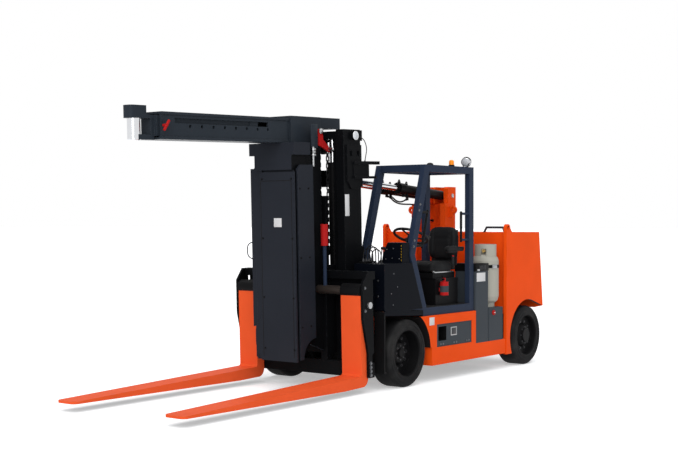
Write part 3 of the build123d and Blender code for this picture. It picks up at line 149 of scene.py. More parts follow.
def paint_group():
    """Painted steel: slight mottling, an edge colour that is wear on most paints and a painted highlight
    along the edges of the dark blacks and navies, and dust that settles low down and on flat tops.
    """
    group, given, made = new_group("paint_wear_and_highlight", [
        ("Base Color", "NodeSocketColor", (0.8, 0.1, 0.02, 1)),
        ("Wear and Highlight Color", "NodeSocketColor", (0.25, 0.2, 0.18, 1)),
        ("Dust Color", "NodeSocketColor", (0.30, 0.28, 0.26, 1)),
        ("Edge Wear and Highlight", "NodeSocketFloat", 0.3),
        ("Dust", "NodeSocketFloat", 0.2),
        ("Roughness", "NodeSocketFloat", 0.35),
        ("Edge Radius", "NodeSocketFloat", 0.004),
    ], [
        ("Color", "NodeSocketColor"), ("Roughness", "NodeSocketFloat"),
        ("Normal", "NodeSocketVector"), ("Height", "NodeSocketFloat"),
    ])
    link = group.links.new
    place = add(group, "ShaderNodeTexCoord").outputs["Object"]
    broad = noise(group, place, 2.3, 5)
    fine = noise(group, place, 46, 6)

    # Edges: where the rounded normal leaves the flat one; their colour is wear, and on the dark blacks and
    # navies a painted highlight
    bevel = add(group, "ShaderNodeBevel", samples=4)
    link(given.outputs["Edge Radius"], bevel.inputs["Radius"])
    geometry = add(group, "ShaderNodeNewGeometry")
    dot = add(group, "ShaderNodeVectorMath", operation="DOT_PRODUCT")
    link(bevel.outputs[0], dot.inputs[0])
    link(geometry.outputs["Normal"], dot.inputs[1])
    edge = ramp(group, calc(group, "SUBTRACT", 1.0, dot.outputs["Value"]), 0.02, 0.16)
    edge_wear_and_highlight = calc(group, "MULTIPLY", edge, ramp(group, fine, 0.46, 0.66))
    edge_wear_and_highlight = calc(group, "MULTIPLY", edge_wear_and_highlight, given.outputs["Edge Wear and Highlight"])

    # Dust: on what lies flat, and low on the truck
    facing = add(group, "ShaderNodeSeparateXYZ")
    link(geometry.outputs["Normal"], facing.inputs[0])
    spot = add(group, "ShaderNodeSeparateXYZ")
    link(geometry.outputs["Position"], spot.inputs[0])
    flat = calc(group, "MULTIPLY", ramp(group, facing.outputs["Z"], 0.55, 0.98), 0.55)
    low = calc(group, "SUBTRACT", 1.0, ramp(group, spot.outputs["Z"], 0.1, 0.75))
    settle = calc(group, "MAXIMUM", flat, calc(group, "MULTIPLY", low, 0.5))
    dust = calc(group, "MULTIPLY", settle, ramp(group, broad, 0.3, 0.75))
    dust = calc(group, "MULTIPLY", dust, given.outputs["Dust"])

    tone = add(group, "ShaderNodeHueSaturation")
    link(given.outputs["Base Color"], tone.inputs["Color"])
    value = add(group, "ShaderNodeMapRange")
    value.inputs["To Min"].default_value = 0.88
    value.inputs["To Max"].default_value = 1.12
    link(broad, value.inputs["Value"])
    link(value.outputs["Result"], tone.inputs["Value"])
    colour = mix_colour(group, edge_wear_and_highlight, tone.outputs["Color"], given.outputs["Wear and Highlight Color"])
    link(mix_colour(group, dust, colour, given.outputs["Dust Color"]), made.inputs["Color"])

    speckle = calc(group, "MULTIPLY", calc(group, "SUBTRACT", fine, 0.5), 0.12)
    rough = calc(group, "ADD", given.outputs["Roughness"], speckle)
    spoiled = calc(group, "MULTIPLY", calc(group, "ADD", dust, edge_wear_and_highlight), 0.3)
    link(calc(group, "ADD", rough, spoiled), made.inputs["Roughness"])
    link(bevel.outputs[0], made.inputs["Normal"])
    link(fine, made.inputs["Height"])
    return group


def rubber_group():
    """Dull rubber or grained plastic: greyed where it rubs, and fine speckle."""
    group, given, made = new_group("rubber_grain", [
        ("Base Color", "NodeSocketColor", (0.02, 0.02, 0.021, 1)),
        ("Scuff Color", "NodeSocketColor", (0.06, 0.058, 0.056, 1)),
        ("Scuff", "NodeSocketFloat", 0.4),
        ("Grain Scale", "NodeSocketFloat", 120.0),
    ], [
        ("Color", "NodeSocketColor"), ("Roughness", "NodeSocketFloat"), ("Height", "NodeSocketFloat"),
    ])
    link = group.links.new
    place = add(group, "ShaderNodeTexCoord").outputs["Object"]
    broad = noise(group, place, 5, 6)
    grain = noise(group, place, given.outputs["Grain Scale"], 4)
    scuff = calc(group, "MULTIPLY", ramp(group, broad, 0.42, 0.72), given.outputs["Scuff"])
    colour = mix_colour(group, scuff, given.outputs["Base Color"], given.outputs["Scuff Color"])
    link(colour, made.inputs["Color"])
    link(calc(group, "ADD", calc(group, "MULTIPLY", grain, 0.2), 0.5), made.inputs["Roughness"])
    link(grain, made.inputs["Height"])
    return group


PAINT = paint_group()
RUBBER = rubber_group()


def material(name):
    mat = bpy.data.materials.new(name)
    mat.use_nodes = True
    return mat, mat.node_tree, mat.node_tree.nodes["Principled BSDF"]


def bumped(tree, shader, node, strength, distance):
    rise = add(tree, "ShaderNodeBump")
    rise.inputs["Strength"].default_value = strength
    rise.inputs["Distance"].default_value = distance
    tree.links.new(node.outputs["Height"], rise.inputs["Height"])
    tree.links.new(rise.outputs[0], shader.inputs["Normal"])
    return rise


def painted(name, colour, roughness=0.35, edge_wear_and_highlight=0.3, dust=0.1, wear_and_highlight_colour=(0.1, 0.09, 0.085), edge=0.004,
            coat=0.0, metallic=0.0, shine=0.05):
    mat, tree, shader = material(name)
    node = add(tree, "ShaderNodeGroup", node_tree=PAINT)
    node.inputs["Base Color"].default_value = (*colour, 1)
    node.inputs["Wear and Highlight Color"].default_value = (*wear_and_highlight_colour, 1)
    node.inputs["Edge Wear and Highlight"].default_value = edge_wear_and_highlight
    node.inputs["Dust"].default_value = dust
    node.inputs["Roughness"].default_value = roughness
    node.inputs["Edge Radius"].default_value = edge
    shader.inputs["Metallic"].default_value = metallic
    shader.inputs["Coat Weight"].default_value = coat
    shader.inputs["Coat Roughness"].default_value = 0.12
    shader.inputs["Specular IOR Level"].default_value = shine
    tree.links.new(node.outputs["Color"], shader.inputs["Base Color"])
    tree.links.new(node.outputs["Roughness"], shader.inputs["Roughness"])
    rise = bumped(tree, shader, node, strength=0.02, distance=0.002)
    tree.links.new(node.outputs["Normal"], rise.inputs["Normal"])
    return mat


def rubbery(name, colour, scuff=0.35, scale=120.0, bump=0.15, shine=0.12):
    mat, tree, shader = material(name)
    node = add(tree, "ShaderNodeGroup", node_tree=RUBBER)
    node.inputs["Base Color"].default_value = (*colour, 1)
    node.inputs["Scuff"].default_value = scuff
    node.inputs["Grain Scale"].default_value = scale
    shader.inputs["Specular IOR Level"].default_value = shine
    tree.links.new(node.outputs["Color"], shader.inputs["Base Color"])
    tree.links.new(node.outputs["Roughness"], shader.inputs["Roughness"])
    bumped(tree, shader, node, strength=bump, distance=0.001)
    return mat


# Paints
ORANGE = painted(
    "orange", (0.8, 0.075, 0.006), 0.42, edge_wear_and_highlight=0.3, dust=0.02, wear_and_highlight_colour=(0.28, 0.04, 0.015), shine=0.03)
FORK_ORANGE = painted(
    "fork_orange", (0.8, 0.1, 0.026), 0.5, edge_wear_and_highlight=0.5, dust=0.03, wear_and_highlight_colour=(0.3, 0.09, 0.05), shine=0.03)
# The blacks and navies below with a 6 mm edge: their lighter, bluish edge colour is a painted highlight
# along the edges, not wear
BLACK = painted(
    "black", (0.022, 0.028, 0.036), 0.34, edge_wear_and_highlight=0.7, dust=0.02, wear_and_highlight_colour=(0.07, 0.076, 0.09), edge=0.006)
SATIN_BLACK = painted(
    "satin_black", (0.005, 0.005, 0.0055), 0.42, edge_wear_and_highlight=0.4, dust=0.02, wear_and_highlight_colour=(0.05, 0.05, 0.055))
# Mast black: the mast's own black paint, made darker than the boom's black as painted shade, since the mast
# rails stand deep in shade between the column and the guard
MAST_BLACK_AND_SHADE = painted(
    "mast_black_and_shade", (0.0035, 0.0038, 0.0045), 0.36, edge_wear_and_highlight=0.7, dust=0.02, wear_and_highlight_colour=(0.05, 0.053, 0.06),
    edge=0.006, shine=0.03)
# Painted shadow: near-black for faces that look down, where shade falls, which also keeps orange bounce
# light off the floor, and for the column's seam strips; it also darkens the faces inside the wheel arches
SHADOW_BLACK = painted(
    "painted_shadow_black", (0.008, 0.007, 0.007), 0.7, edge_wear_and_highlight=0.0, dust=0.0, shine=0.1)
COVER_BLACK = painted(
    "cover_black", (0.016, 0.0185, 0.025), 0.36, edge_wear_and_highlight=0.7, dust=0.03, wear_and_highlight_colour=(0.07, 0.078, 0.095),
    edge=0.006)
NAVY = painted(
    "navy", (0.017, 0.026, 0.049), 0.4, edge_wear_and_highlight=0.6, dust=0.02, wear_and_highlight_colour=(0.09, 0.11, 0.15), edge=0.006)
COWL_NAVY = painted(
    "cowl_navy", (0.0022, 0.003, 0.0055), 0.4, edge_wear_and_highlight=0.5, dust=0.01, wear_and_highlight_colour=(0.045, 0.052, 0.07),
    edge=0.006, shine=0.03)
GREY = painted("grey", (0.042, 0.05, 0.058), 0.45, edge_wear_and_highlight=0.25, dust=0.04, wear_and_highlight_colour=(0.13, 0.13, 0.14))
CREAM = painted("cream", (0.37, 0.36, 0.31), 0.42, edge_wear_and_highlight=0.3, dust=0.15, wear_and_highlight_colour=(0.22, 0.2, 0.17))
RED = painted("red", (0.38, 0.012, 0.012), 0.36, edge_wear_and_highlight=0.35, dust=0.03, wear_and_highlight_colour=(0.12, 0.03, 0.025))
YELLOW = painted("yellow", (0.35, 0.2, 0.012), 0.45, edge_wear_and_highlight=0.2, edge=0.001)
BLANK = painted("blank_plate", (0.62, 0.62, 0.62), 0.5, edge_wear_and_highlight=0.1, dust=0.1, edge=0.001)
AMBER = painted("amber", (0.95, 0.28, 0.01), 0.18, edge_wear_and_highlight=0.0, dust=0.02, edge=0.001, coat=0.3)
LENS = painted("lens", (0.62, 0.64, 0.66), 0.1, edge_wear_and_highlight=0.0, dust=0.03, edge=0.001, coat=0.5)

# Bare metals
STEEL = painted(
    "steel", (0.36, 0.365, 0.37), 0.3, edge_wear_and_highlight=0.2, wear_and_highlight_colour=(0.5, 0.5, 0.5), metallic=1.0, edge=0.002)
BOLT_STEEL = painted(
    "bolt_steel", (0.14, 0.145, 0.155), 0.35, edge_wear_and_highlight=0.2, wear_and_highlight_colour=(0.4, 0.4, 0.4), metallic=1.0, edge=0.001)
SHAFT_STEEL = painted(
    "shaft_steel", (0.075, 0.06, 0.052), 0.4, edge_wear_and_highlight=0.3, wear_and_highlight_colour=(0.2, 0.18, 0.17), metallic=0.8)
DARK_STEEL = painted(
    "dark_steel", (0.05, 0.05, 0.054), 0.42, edge_wear_and_highlight=0.3, wear_and_highlight_colour=(0.2, 0.2, 0.2), metallic=0.8, edge=0.002)
CHROME = painted("chrome", (0.72, 0.73, 0.75), 0.12, edge_wear_and_highlight=0.0, dust=0.02, metallic=1.0, edge=0.002)
BRASS = painted("brass", (0.55, 0.36, 0.12), 0.3, edge_wear_and_highlight=0.1, metallic=1.0, edge=0.001)
IRON = painted("iron", (0.012, 0.012, 0.013), 0.6, edge_wear_and_highlight=0.2, dust=0.1, wear_and_highlight_colour=(0.05, 0.046, 0.042))

# Rubber, vinyl and plastic
TYRE = rubbery("tyre", (0.009, 0.009, 0.0095), 0.25, shine=0.06)
HOSE = rubbery("hose", (0.006, 0.006, 0.0065), 0.2, 200.0)
VINYL = rubbery("vinyl", (0.0035, 0.0038, 0.0045), 0.12, 260.0, 0.3, 0.12)
PLASTIC = rubbery("plastic", (0.007, 0.007, 0.008), 0.2, 300.0, 0.2, 0.15)
FLOOR_MAT = rubbery("floor_mat", (0.008, 0.008, 0.008), 0.3, 90.0, 0.5)


# Dressing of the CAD nodes

SHARP_NODE_EDGE = math.radians(32)


def dress(node, mat, parts=()):
    """One material for the node, and others for the faces that a test of place and direction picks."""
    mesh = NODES[node].data
    mesh.materials.clear()
    mesh.materials.append(mat)
    for other, _ in parts:
        mesh.materials.append(other)
    if "custom_normal" in mesh.attributes:
        mesh.attributes.remove(mesh.attributes["custom_normal"])
    mesh.shade_smooth()
    mesh.set_sharp_from_angle(angle=SHARP_NODE_EDGE)
    for face in mesh.polygons:
        face.material_index = 0
        middle = (face.center - at(0, 0, 0)) / MM
        for i, (_, test) in enumerate(parts):
            if test(middle.x, middle.y, middle.z, face.normal):
                face.material_index = i + 1


def in_arch(axle_x, radius):
    """Faces of a wheel arch: those that look at the axle from within the radius."""
    def test(x, y, z, n):
        return math.hypot(x - axle_x, z - AXLE_Z / MM) < radius and abs(n.y) < 0.5
    return test


# Faces that look down: dressed in the painted shadow black
def underneath(x, y, z, n):
    return n.z < -0.5


def fork_hanger(x, y, z, n):
    return z > 945


def rear_handle(x, y, z, n):
    return z > 1606 and x < -2175 and y < 830


def column_inside(x, y, z, n):
    return abs(n.y) > 0.5 and abs(y) < 280


def shaft_end(x, y, z, n):
    return abs(y) > 846


def carriage_post(x, y, z, n):
    return z > 1110


def tank_strap(x, y, z, n):
    return x < -1700 and z > 745


def step_recess(x, y, z, n):
    return -775 < x < -598 and 425 < z < 601 and y < 862


def sill_side(x, y, z, n):
    return n.y > 0.5 and y > 855 and x < -310


def apron_side(x, y, z, n):
    return n.y > 0.5 and y > 855 and x > -310


def cab_floor_top(x, y, z, n):
    return n.z > 0.5 and z < 815 and x < -75


def grab_rail(x, y, z, n):
    return 822 < y < 853 and 1440 < z < 1865 and (x > -470 or -1150 < x < -1100)


STEER_AXLE_X = (STEER_X - AXLE_X) / MM
FENDER_R = 446
REAR_ARCH_R = 440
ONE_FINISH = {
    "drive_axle": IRON, "steer_axle": IRON, "knuckle_left": IRON, "knuckle_right": IRON,
    "engine_block": IRON, "engine_hood": ORANGE, "tilt_tower": ORANGE, "lp_tank": CREAM,
    "front_guards": SATIN_BLACK, "front_cowl": COWL_NAVY, "hydraulic_tank": COWL_NAVY,
    "seat": VINYL, "steering_wheel": PLASTIC, "extinguisher": RED, "guard_lamps": CHROME,
    "slide_rails": STEEL, "lift_barrels": SATIN_BLACK, "lift_rods": CHROME, "lift_chains": DARK_STEEL,
    "inner_mast": MAST_BLACK_AND_SHADE, "outer_mast": MAST_BLACK_AND_SHADE, "boom_outer": BLACK, "boom_inner": BLACK,
    "boom_swivel": CHROME, "red_locks": RED, "tilt_barrels": SATIN_BLACK, "tilt_rods": CHROME,
}
for node, mat in ONE_FINISH.items():
    dress(node, mat)
for side, _ in SIDES:
    for axle in ("drive", "steer"):
        dress(f"{axle}_tyre_{side}", TYRE)
        dress(f"{axle}_rim_{side}", SATIN_BLACK)
    dress(f"fork_{side}", FORK_ORANGE, [(SATIN_BLACK, fork_hanger), (SHADOW_BLACK, underneath)])
# Undersides and arch faces take the painted shadow black
dress("main_frame", ORANGE, [(SHADOW_BLACK, underneath), (SHADOW_BLACK, in_arch(0, FENDER_R))])
dress("counterweight", ORANGE, [
    (GREY, rear_handle), (SHADOW_BLACK, underneath), (SHADOW_BLACK, in_arch(STEER_AXLE_X, REAR_ARCH_R)),
])
dress("boom_column", COVER_BLACK, [(MAST_BLACK_AND_SHADE, column_inside)])
dress("carriage", MAST_BLACK_AND_SHADE, [(STEEL, shaft_end)])
dress("carriage_rods", SHAFT_STEEL, [(NAVY, carriage_post)])
dress("side_cabinets", GREY, [(SATIN_BLACK, tank_strap), (SATIN_BLACK, step_recess)])
dress("cab_floor", SATIN_BLACK, [(NAVY, sill_side), (COWL_NAVY, apron_side), (FLOOR_MAT, cab_floor_top)])
dress("overhead_guard", NAVY, [(SATIN_BLACK, grab_rail)])


# Mesh tools

def finish_mesh(name, bm, finishes, body, sharp_from=35):
    mesh = bpy.data.meshes.new(name)
    bmesh.ops.recalc_face_normals(bm, faces=bm.faces)
    bm.to_mesh(mesh)
    bm.free()
    obj = bpy.data.objects.new(name, mesh)
    bpy.context.scene.collection.objects.link(obj)
    for finish in finishes:
        mesh.materials.append(finish)
    mesh.shade_smooth()
    mesh.set_sharp_from_angle(angle=math.radians(sharp_from))
    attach(obj, body)
    return obj


def paint_faces(verts, index):
    for vert in verts:
        for face in vert.link_faces:
            face.material_index = index


def put_cylinder(bm, start, end, radius, sides=20, index=0):
    run = end - start
    place = Matrix.Translation((start + end) / 2) @ run.to_track_quat("Z", "Y").to_matrix().to_4x4()
    made = bmesh.ops.create_cone(
        bm, cap_ends=True, segments=sides, radius1=radius, radius2=radius, depth=run.length, matrix=place)
    paint_faces(made["verts"], index)


def put_ball(bm, middle, radius, around=16, rings=12):
    place = Matrix.Translation(middle)
    bmesh.ops.create_uvsphere(bm, u_segments=around, v_segments=rings, radius=radius, matrix=place)


def put_box(bm, middle, size, axes=UPRIGHT, index=0, round_edge=0.0):
    turn = Matrix(axes).transposed().to_4x4()
    place = Matrix.Translation(middle) @ turn @ Matrix.Diagonal((*size, 1))
    made = bmesh.ops.create_cube(bm, size=1, matrix=place)
    paint_faces(made["verts"], index)
    if round_edge:
        edges = list(dict.fromkeys(edge for vert in made["verts"] for edge in vert.link_edges))
        bmesh.ops.bevel(
            bm, geom=edges, offset=round_edge, segments=2, affect="EDGES", profile=0.5, material=-1)


def put_lathe(bm, foot, axis, profile, sides=32, index=0):
    """Turned form: a profile of (distance along the axis, radius), in metres."""
    axis = Vector(axis).normalized()
    across = axis.orthogonal().normalized()
    other = axis.cross(across)
    rings = []
    for along, radius in profile:
        ring = []
        for i in range(sides):
            turn = 2 * math.pi * i / sides
            out = across * math.cos(turn) + other * math.sin(turn)
            ring.append(bm.verts.new(foot + axis * along + out * radius))
        rings.append(ring)
    faces = []
    for low, high in zip(rings, rings[1:]):
        for i in range(sides):
            k = (i + 1) % sides
            faces.append(bm.faces.new((low[i], low[k], high[k], high[i])))
    faces.append(bm.faces.new(rings[0][::-1]))
    faces.append(bm.faces.new(rings[-1]))
    for face in faces:
        face.material_index = index


def put_ring(bm, middle, axis, major, minor, around=48, across=10, index=0):
    """A round bar bent to a closed ring."""
    axis = Vector(axis).normalized()
    u = axis.orthogonal().normalized()
    v = axis.cross(u)
    rings = []
    for i in range(around):
        turn = 2 * math.pi * i / around
        out = u * math.cos(turn) + v * math.sin(turn)
        ring = []
        for j in range(across):
            roll = 2 * math.pi * j / across
            reach = major + minor * math.cos(roll)
            ring.append(bm.verts.new(middle + out * reach + axis * minor * math.sin(roll)))
        rings.append(ring)
    for a, b in zip(rings, rings[1:] + rings[:1]):
        for j in range(across):
            k = (j + 1) % across
            bm.faces.new((a[j], a[k], b[k], b[j])).material_index = index


WASHER_SINK = 2 * MM
# Bolts, as shares of the head's radius
WASHER_R, WASHER_HEIGHT, HEAD_HEIGHT = 1.35, 0.25, 0.9


def bolt_set(name, body, finish, rows):
    """Hexagon heads on washers: rows of (place, outward direction, head radius)."""
    bm = bmesh.new()
    for place, out, radius in rows:
        washer_top = place + out * WASHER_HEIGHT * radius
        put_cylinder(bm, place - out * WASHER_SINK, washer_top, WASHER_R * radius, 16)
        put_cylinder(bm, place, place + out * HEAD_HEIGHT * radius, radius, 6)
    return finish_mesh(name, bm, [finish], body)


def plate_set(name, body, finishes, rows):
    """Bare plates with rounded edges: rows of (middle, size, axes, index of the finish)."""
    bm = bmesh.new()
    for middle, size, axes, index in rows:
        put_box(bm, middle, size, axes, index, round_edge=0.45 * min(size))
    return finish_mesh(name, bm, finishes, body)


def line_length(curve):
    """Length of a cord's middle line, from a copy of the curve without its thickness."""
    line = curve.copy()
    line.bevel_depth = 0
    probe = bpy.data.objects.new("probe", line)
    mesh = bpy.data.meshes.new_from_object(probe)
    places = [vert.co.copy() for vert in mesh.vertices]
    bpy.data.objects.remove(probe)
    bpy.data.meshes.remove(mesh)
    bpy.data.curves.remove(line)
    return sum((b - a).length for a, b in zip(places, places[1:]))


# End fittings of a cord, as shares of its diameter
NUT_R, NUT_BACK, NUT_FRONT = 0.95, 0.2, 0.5
SLEEVE_R, SLEEVE_END = 0.66, 1.4


def free_cord(name, points, diameter, body):
    """A cord on a smooth line whose two ends are fixed in the truck, with a fitting at each end."""
    curve = bpy.data.curves.new(name, "CURVE")
    curve.dimensions = "3D"
    curve.bevel_depth = diameter / 2
    curve.bevel_resolution = 4
    curve.resolution_u = 12
    spline = curve.splines.new("NURBS")
    spline.points.add(len(points) - 1)
    for knot, place in zip(spline.points, points):
        knot.co = (*place, 1)
    spline.order_u = 3
    spline.use_endpoint_u = True
    curve.materials.append(HOSE)
    obj = bpy.data.objects.new(name, curve)
    bpy.context.scene.collection.objects.link(obj)
    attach(obj, body)

    bm = bmesh.new()
    for end, inner in ((points[0], points[1]), (points[-1], points[-2])):
        run = (inner - end).normalized() * diameter
        put_cylinder(bm, end - run * NUT_BACK, end + run * NUT_FRONT, NUT_R * diameter, 6)
        put_cylinder(bm, end, end + run * SLEEVE_END, SLEEVE_R * diameter, 16)
    fittings = finish_mesh(name + "_fittings", bm, [DARK_STEEL], body)
    line_length(curve)


# Wheels: nuts, hub bolts and moulded rings on the tyre walls

# axle, its place, then nuts and hub bolts as (face, count, ring radius, head radius)
WHEELS = (
    ("drive", AXLE_X, (740, 12, 165, 0.014), (784, 8, 74, 0.008)),
    ("steer", STEER_X, (806, 10, 165, 0.014), (850, 8, 95, 0.008)),
)
TYRE_FACE_Y = 880
TYRE_RINGS = ((268, 0.003), (304, 0.0035))
for side, sign in SIDES:
    out = LEFT * sign
    for axle, axle_x, *circles in WHEELS:
        body = f"{axle}_wheel_{side}"
        middle = Vector((axle_x, 0, AXLE_Z))
        rows = []
        for face_y, count, ring_r, head in circles:
            for i in range(count):
                turn = 2 * math.pi * i / count
                spoke = Vector((math.cos(turn), 0, math.sin(turn)))
                rows.append((middle + spoke * ring_r * MM + out * face_y * MM, out, head))
        bolt_set(f"{axle}_nuts_{side}", body, DARK_STEEL, rows)
        bm = bmesh.new()
        for ring_r, thick in TYRE_RINGS:
            put_ring(bm, middle + out * TYRE_FACE_Y * MM, out, ring_r * MM, thick, 72, 8)
        finish_mesh(f"{axle}_tyre_rings_{side}", bm, [TYRE], body)


# Chassis side: screws, bare plates, cabinet cap and latch, filler cap

BODY_Y = 880
PANEL_Y = 872
COWL_Y = 870
COWL_FRONT_X = 415
GUARD_Y = 860
STEP_SCREW_X = (-652, -700, -925, -975, -1190, -1240)
STEP_SCREW_Z = 400
COWL_SIDE_SCREWS = ((246, 1197), (178, 1059), (291, 993), (258, 876))
COWL_FRONT_BOLT_Y = 791
COWL_FRONT_BOLT_Z = (1127, 968)
POST_BOLTS = ((-262, 1917), (-242, 1854), (-150, 1533), (-136, 1471))
rows = [(at(x, PANEL_Y, STEP_SCREW_Z), LEFT, 0.008) for x in STEP_SCREW_X]
rows += [(at(x, COWL_Y, z), LEFT, 0.005) for x, z in COWL_SIDE_SCREWS]
rows += [(at(COWL_FRONT_X, COWL_FRONT_BOLT_Y, z), FORE, 0.010) for z in COWL_FRONT_BOLT_Z]
rows += [(at(x, GUARD_Y, z), LEFT, 0.01) for x, z in POST_BOLTS]
bolt_set("panel_screws", "chassis", BOLT_STEEL, rows)

PLATE_THICK = 3 * MM
LATCH_PLATE_THICK = 4 * MM
LATCH_PLATE_X, LATCH_PLATE_Z = -920, 525
plate_set("side_plates", "chassis", [BLANK, DARK_STEEL, STEEL], [
    (at(-464, BODY_Y + 1, 660), (0.095, 0.085, PLATE_THICK), ON_SIDE, 0),
    (at(-1497, BODY_Y + 1, 1098), (0.19, 0.1, PLATE_THICK), ON_SIDE, 0),
    (at(LATCH_PLATE_X, PANEL_Y + 1, LATCH_PLATE_Z), (0.125, 0.095, LATCH_PLATE_THICK), ON_SIDE, 2),
    (at(LATCH_PLATE_X, PANEL_Y + 3, LATCH_PLATE_Z), (0.1, 0.072, LATCH_PLATE_THICK), ON_SIDE, 1),
])

CABINET_X = (-1666, -1386)
CABINET_Y = (600, 880)
CABINET_TOP_Z = 1251
CAP_HEIGHT = 92
CAP_PROUD = 4
CAP_ROUND = 0.008
LOUVRES = 5
LOUVRE_PITCH = 30
LOUVRE_DROP = 44
LOUVRE_SIZE = (0.012, 0.006, 0.045)
LATCH_DROP = 70
LATCH_SIZE = (0.05, 0.012, 0.022)
cap_x, cap_y = sum(CABINET_X) / 2, sum(CABINET_Y) / 2
cap_length = CABINET_X[1] - CABINET_X[0] + 2 * CAP_PROUD
cap_depth = CABINET_Y[1] - CABINET_Y[0] + 2 * CAP_PROUD
cap_middle = at(cap_x, cap_y, CABINET_TOP_Z + CAP_PROUD - CAP_HEIGHT / 2)
latch = at(CABINET_X[1] - 45, BODY_Y + 6, CABINET_TOP_Z - LATCH_DROP)
bm = bmesh.new()
put_box(bm, cap_middle, Vector((cap_length, cap_depth, CAP_HEIGHT)) * MM, round_edge=CAP_ROUND)
for i in range(LOUVRES):
    louvre_x = cap_x + LOUVRE_PITCH * (i - LOUVRES // 2)
    louvre = at(louvre_x, BODY_Y + 5, CABINET_TOP_Z - LOUVRE_DROP)
    put_box(bm, louvre, LOUVRE_SIZE, index=1, round_edge=0.002)
put_box(bm, latch, LATCH_SIZE, index=2, round_edge=0.004)
finish_mesh("cabinet_cap", bm, [SATIN_BLACK, DARK_STEEL, STEEL], "chassis")

FILLER_X, FILLER_Z = -1778, 676
FILLER_PROFILE = [(0, 0.03), (0.008, 0.03), (0.01, 0.026), (0.018, 0.024), (0.02, 0.018)]
FILLER_GRIP = (0.034, 0.01, 0.008)
bm = bmesh.new()
put_lathe(bm, at(FILLER_X, BODY_Y, FILLER_Z), LEFT, FILLER_PROFILE)
put_box(bm, at(FILLER_X, BODY_Y + 20, FILLER_Z), FILLER_GRIP, index=1, round_edge=0.003)
finish_mesh("filler_cap", bm, [RED, BLANK], "chassis")


# Gas tank: valve with hand wheel, strap buckle

TANK_X, TANK_Y, TANK_TOP_Z = -1880, 715, 1466
HAND_WHEEL_Z = TANK_TOP_Z - 46
HAND_WHEEL = [(0, 0.012), (0.01, 0.042), (0.022, 0.042), (0.03, 0.02)]
OUTLET_Z = TANK_TOP_Z - 78
OUTLET_R, OUTLET_NUT_R = 0.016, 0.022
bm = bmesh.new()
put_lathe(bm, at(TANK_X, TANK_Y, HAND_WHEEL_Z), UP, HAND_WHEEL, 24)
outlet = (at(TANK_X + 20, TANK_Y, OUTLET_Z), at(TANK_X + 82, TANK_Y + 22, OUTLET_Z))
put_cylinder(bm, *outlet, OUTLET_R, 16, index=1)
outlet_nut = (at(TANK_X + 62, TANK_Y + 15, OUTLET_Z), at(TANK_X + 84, TANK_Y + 23, OUTLET_Z))
put_cylinder(bm, *outlet_nut, OUTLET_NUT_R, 6, index=1)
finish_mesh("tank_valve", bm, [RED, BRASS], "chassis")

STRAP_DROP = 257
STRAP_R = 0.165
STRAP_OUT = Vector((0.34, 0.94, 0))
ON_STRAP = (STRAP_OUT.cross(UP), STRAP_OUT, UP)
buckle = at(TANK_X, TANK_Y, TANK_TOP_Z - STRAP_DROP) + STRAP_OUT * STRAP_R
bm = bmesh.new()
put_box(bm, buckle, (0.07, 0.014, 0.045), ON_STRAP, round_edge=0.004)
put_box(bm, buckle + STRAP_OUT * 8 * MM, (0.05, 0.012, 0.02), ON_STRAP, round_edge=0.004)
finish_mesh("strap_buckle", bm, [STEEL], "chassis")


# Overhead guard: work lamp and beacon, dome, and the bends of the grab rails

GUARD_TOP_Z = 2347
GUARD_MID_Y = 830
LAMP_X = -1262
LAMP_RISE = 66
LAMP_AIM = Vector((0.80, 0.22, -0.56)).normalized()
LAMP_BOWL = [
    (-0.042, 0.018), (-0.034, 0.034), (-0.012, 0.052), (0.008, 0.056), (0.010, 0.058), (0.024, 0.058),
    (0.028, 0.054),
]
LAMP_LENS = [(0.022, 0.052), (0.030, 0.05), (0.034, 0.04), (0.036, 0.02)]
LAMP_RIM_OUT, LAMP_RIM_R, LAMP_RIM_THICK = 0.026, 0.054, 0.005
LAMP_EAR = 0.05
LAMP_STAY_R = 0.006
BEACON_X = -940
BEACON_FOOT = [(0, 0.034), (0.012, 0.034), (0.014, 0.03)]
BEACON_GLASS = [
    (0.013, 0.027), (0.019, 0.029), (0.025, 0.027), (0.031, 0.029), (0.037, 0.027), (0.043, 0.029),
    (0.057, 0.027), (0.066, 0.02), (0.070, 0.008),
]
lamp_at = at(LAMP_X, GUARD_MID_Y, GUARD_TOP_Z + LAMP_RISE)
beacon_at = at(BEACON_X, GUARD_MID_Y, GUARD_TOP_Z)
bm = bmesh.new()
put_lathe(bm, lamp_at, LAMP_AIM, LAMP_BOWL, index=1)
put_lathe(bm, lamp_at, LAMP_AIM, LAMP_LENS, index=2)
put_ring(bm, lamp_at + LAMP_AIM * LAMP_RIM_OUT, LAMP_AIM, LAMP_RIM_R, LAMP_RIM_THICK, index=3)
for end in (-1, 1):
    stay_foot = at(LAMP_X + 30, GUARD_MID_Y + 26 * end, GUARD_TOP_Z - 2)
    put_cylinder(bm, lamp_at + LEFT * end * LAMP_EAR, stay_foot, LAMP_STAY_R, 10, index=1)
put_lathe(bm, beacon_at, UP, BEACON_FOOT, index=1)
put_lathe(bm, beacon_at, UP, BEACON_GLASS)
lamps = finish_mesh("guard_lamp_set", bm, [AMBER, SATIN_BLACK, LENS, CHROME], "chassis")
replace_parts(lamps, "guard_lamps")

DOME_X = -502
DOME_PROFILE = [(0, 0.036), (0.006, 0.036), (0.014, 0.031), (0.021, 0.018), (0.023, 0.006)]
bm = bmesh.new()
put_lathe(bm, at(DOME_X, GUARD_MID_Y, GUARD_TOP_Z), UP, DOME_PROFILE)
finish_mesh("guard_dome", bm, [PLASTIC], "chassis")

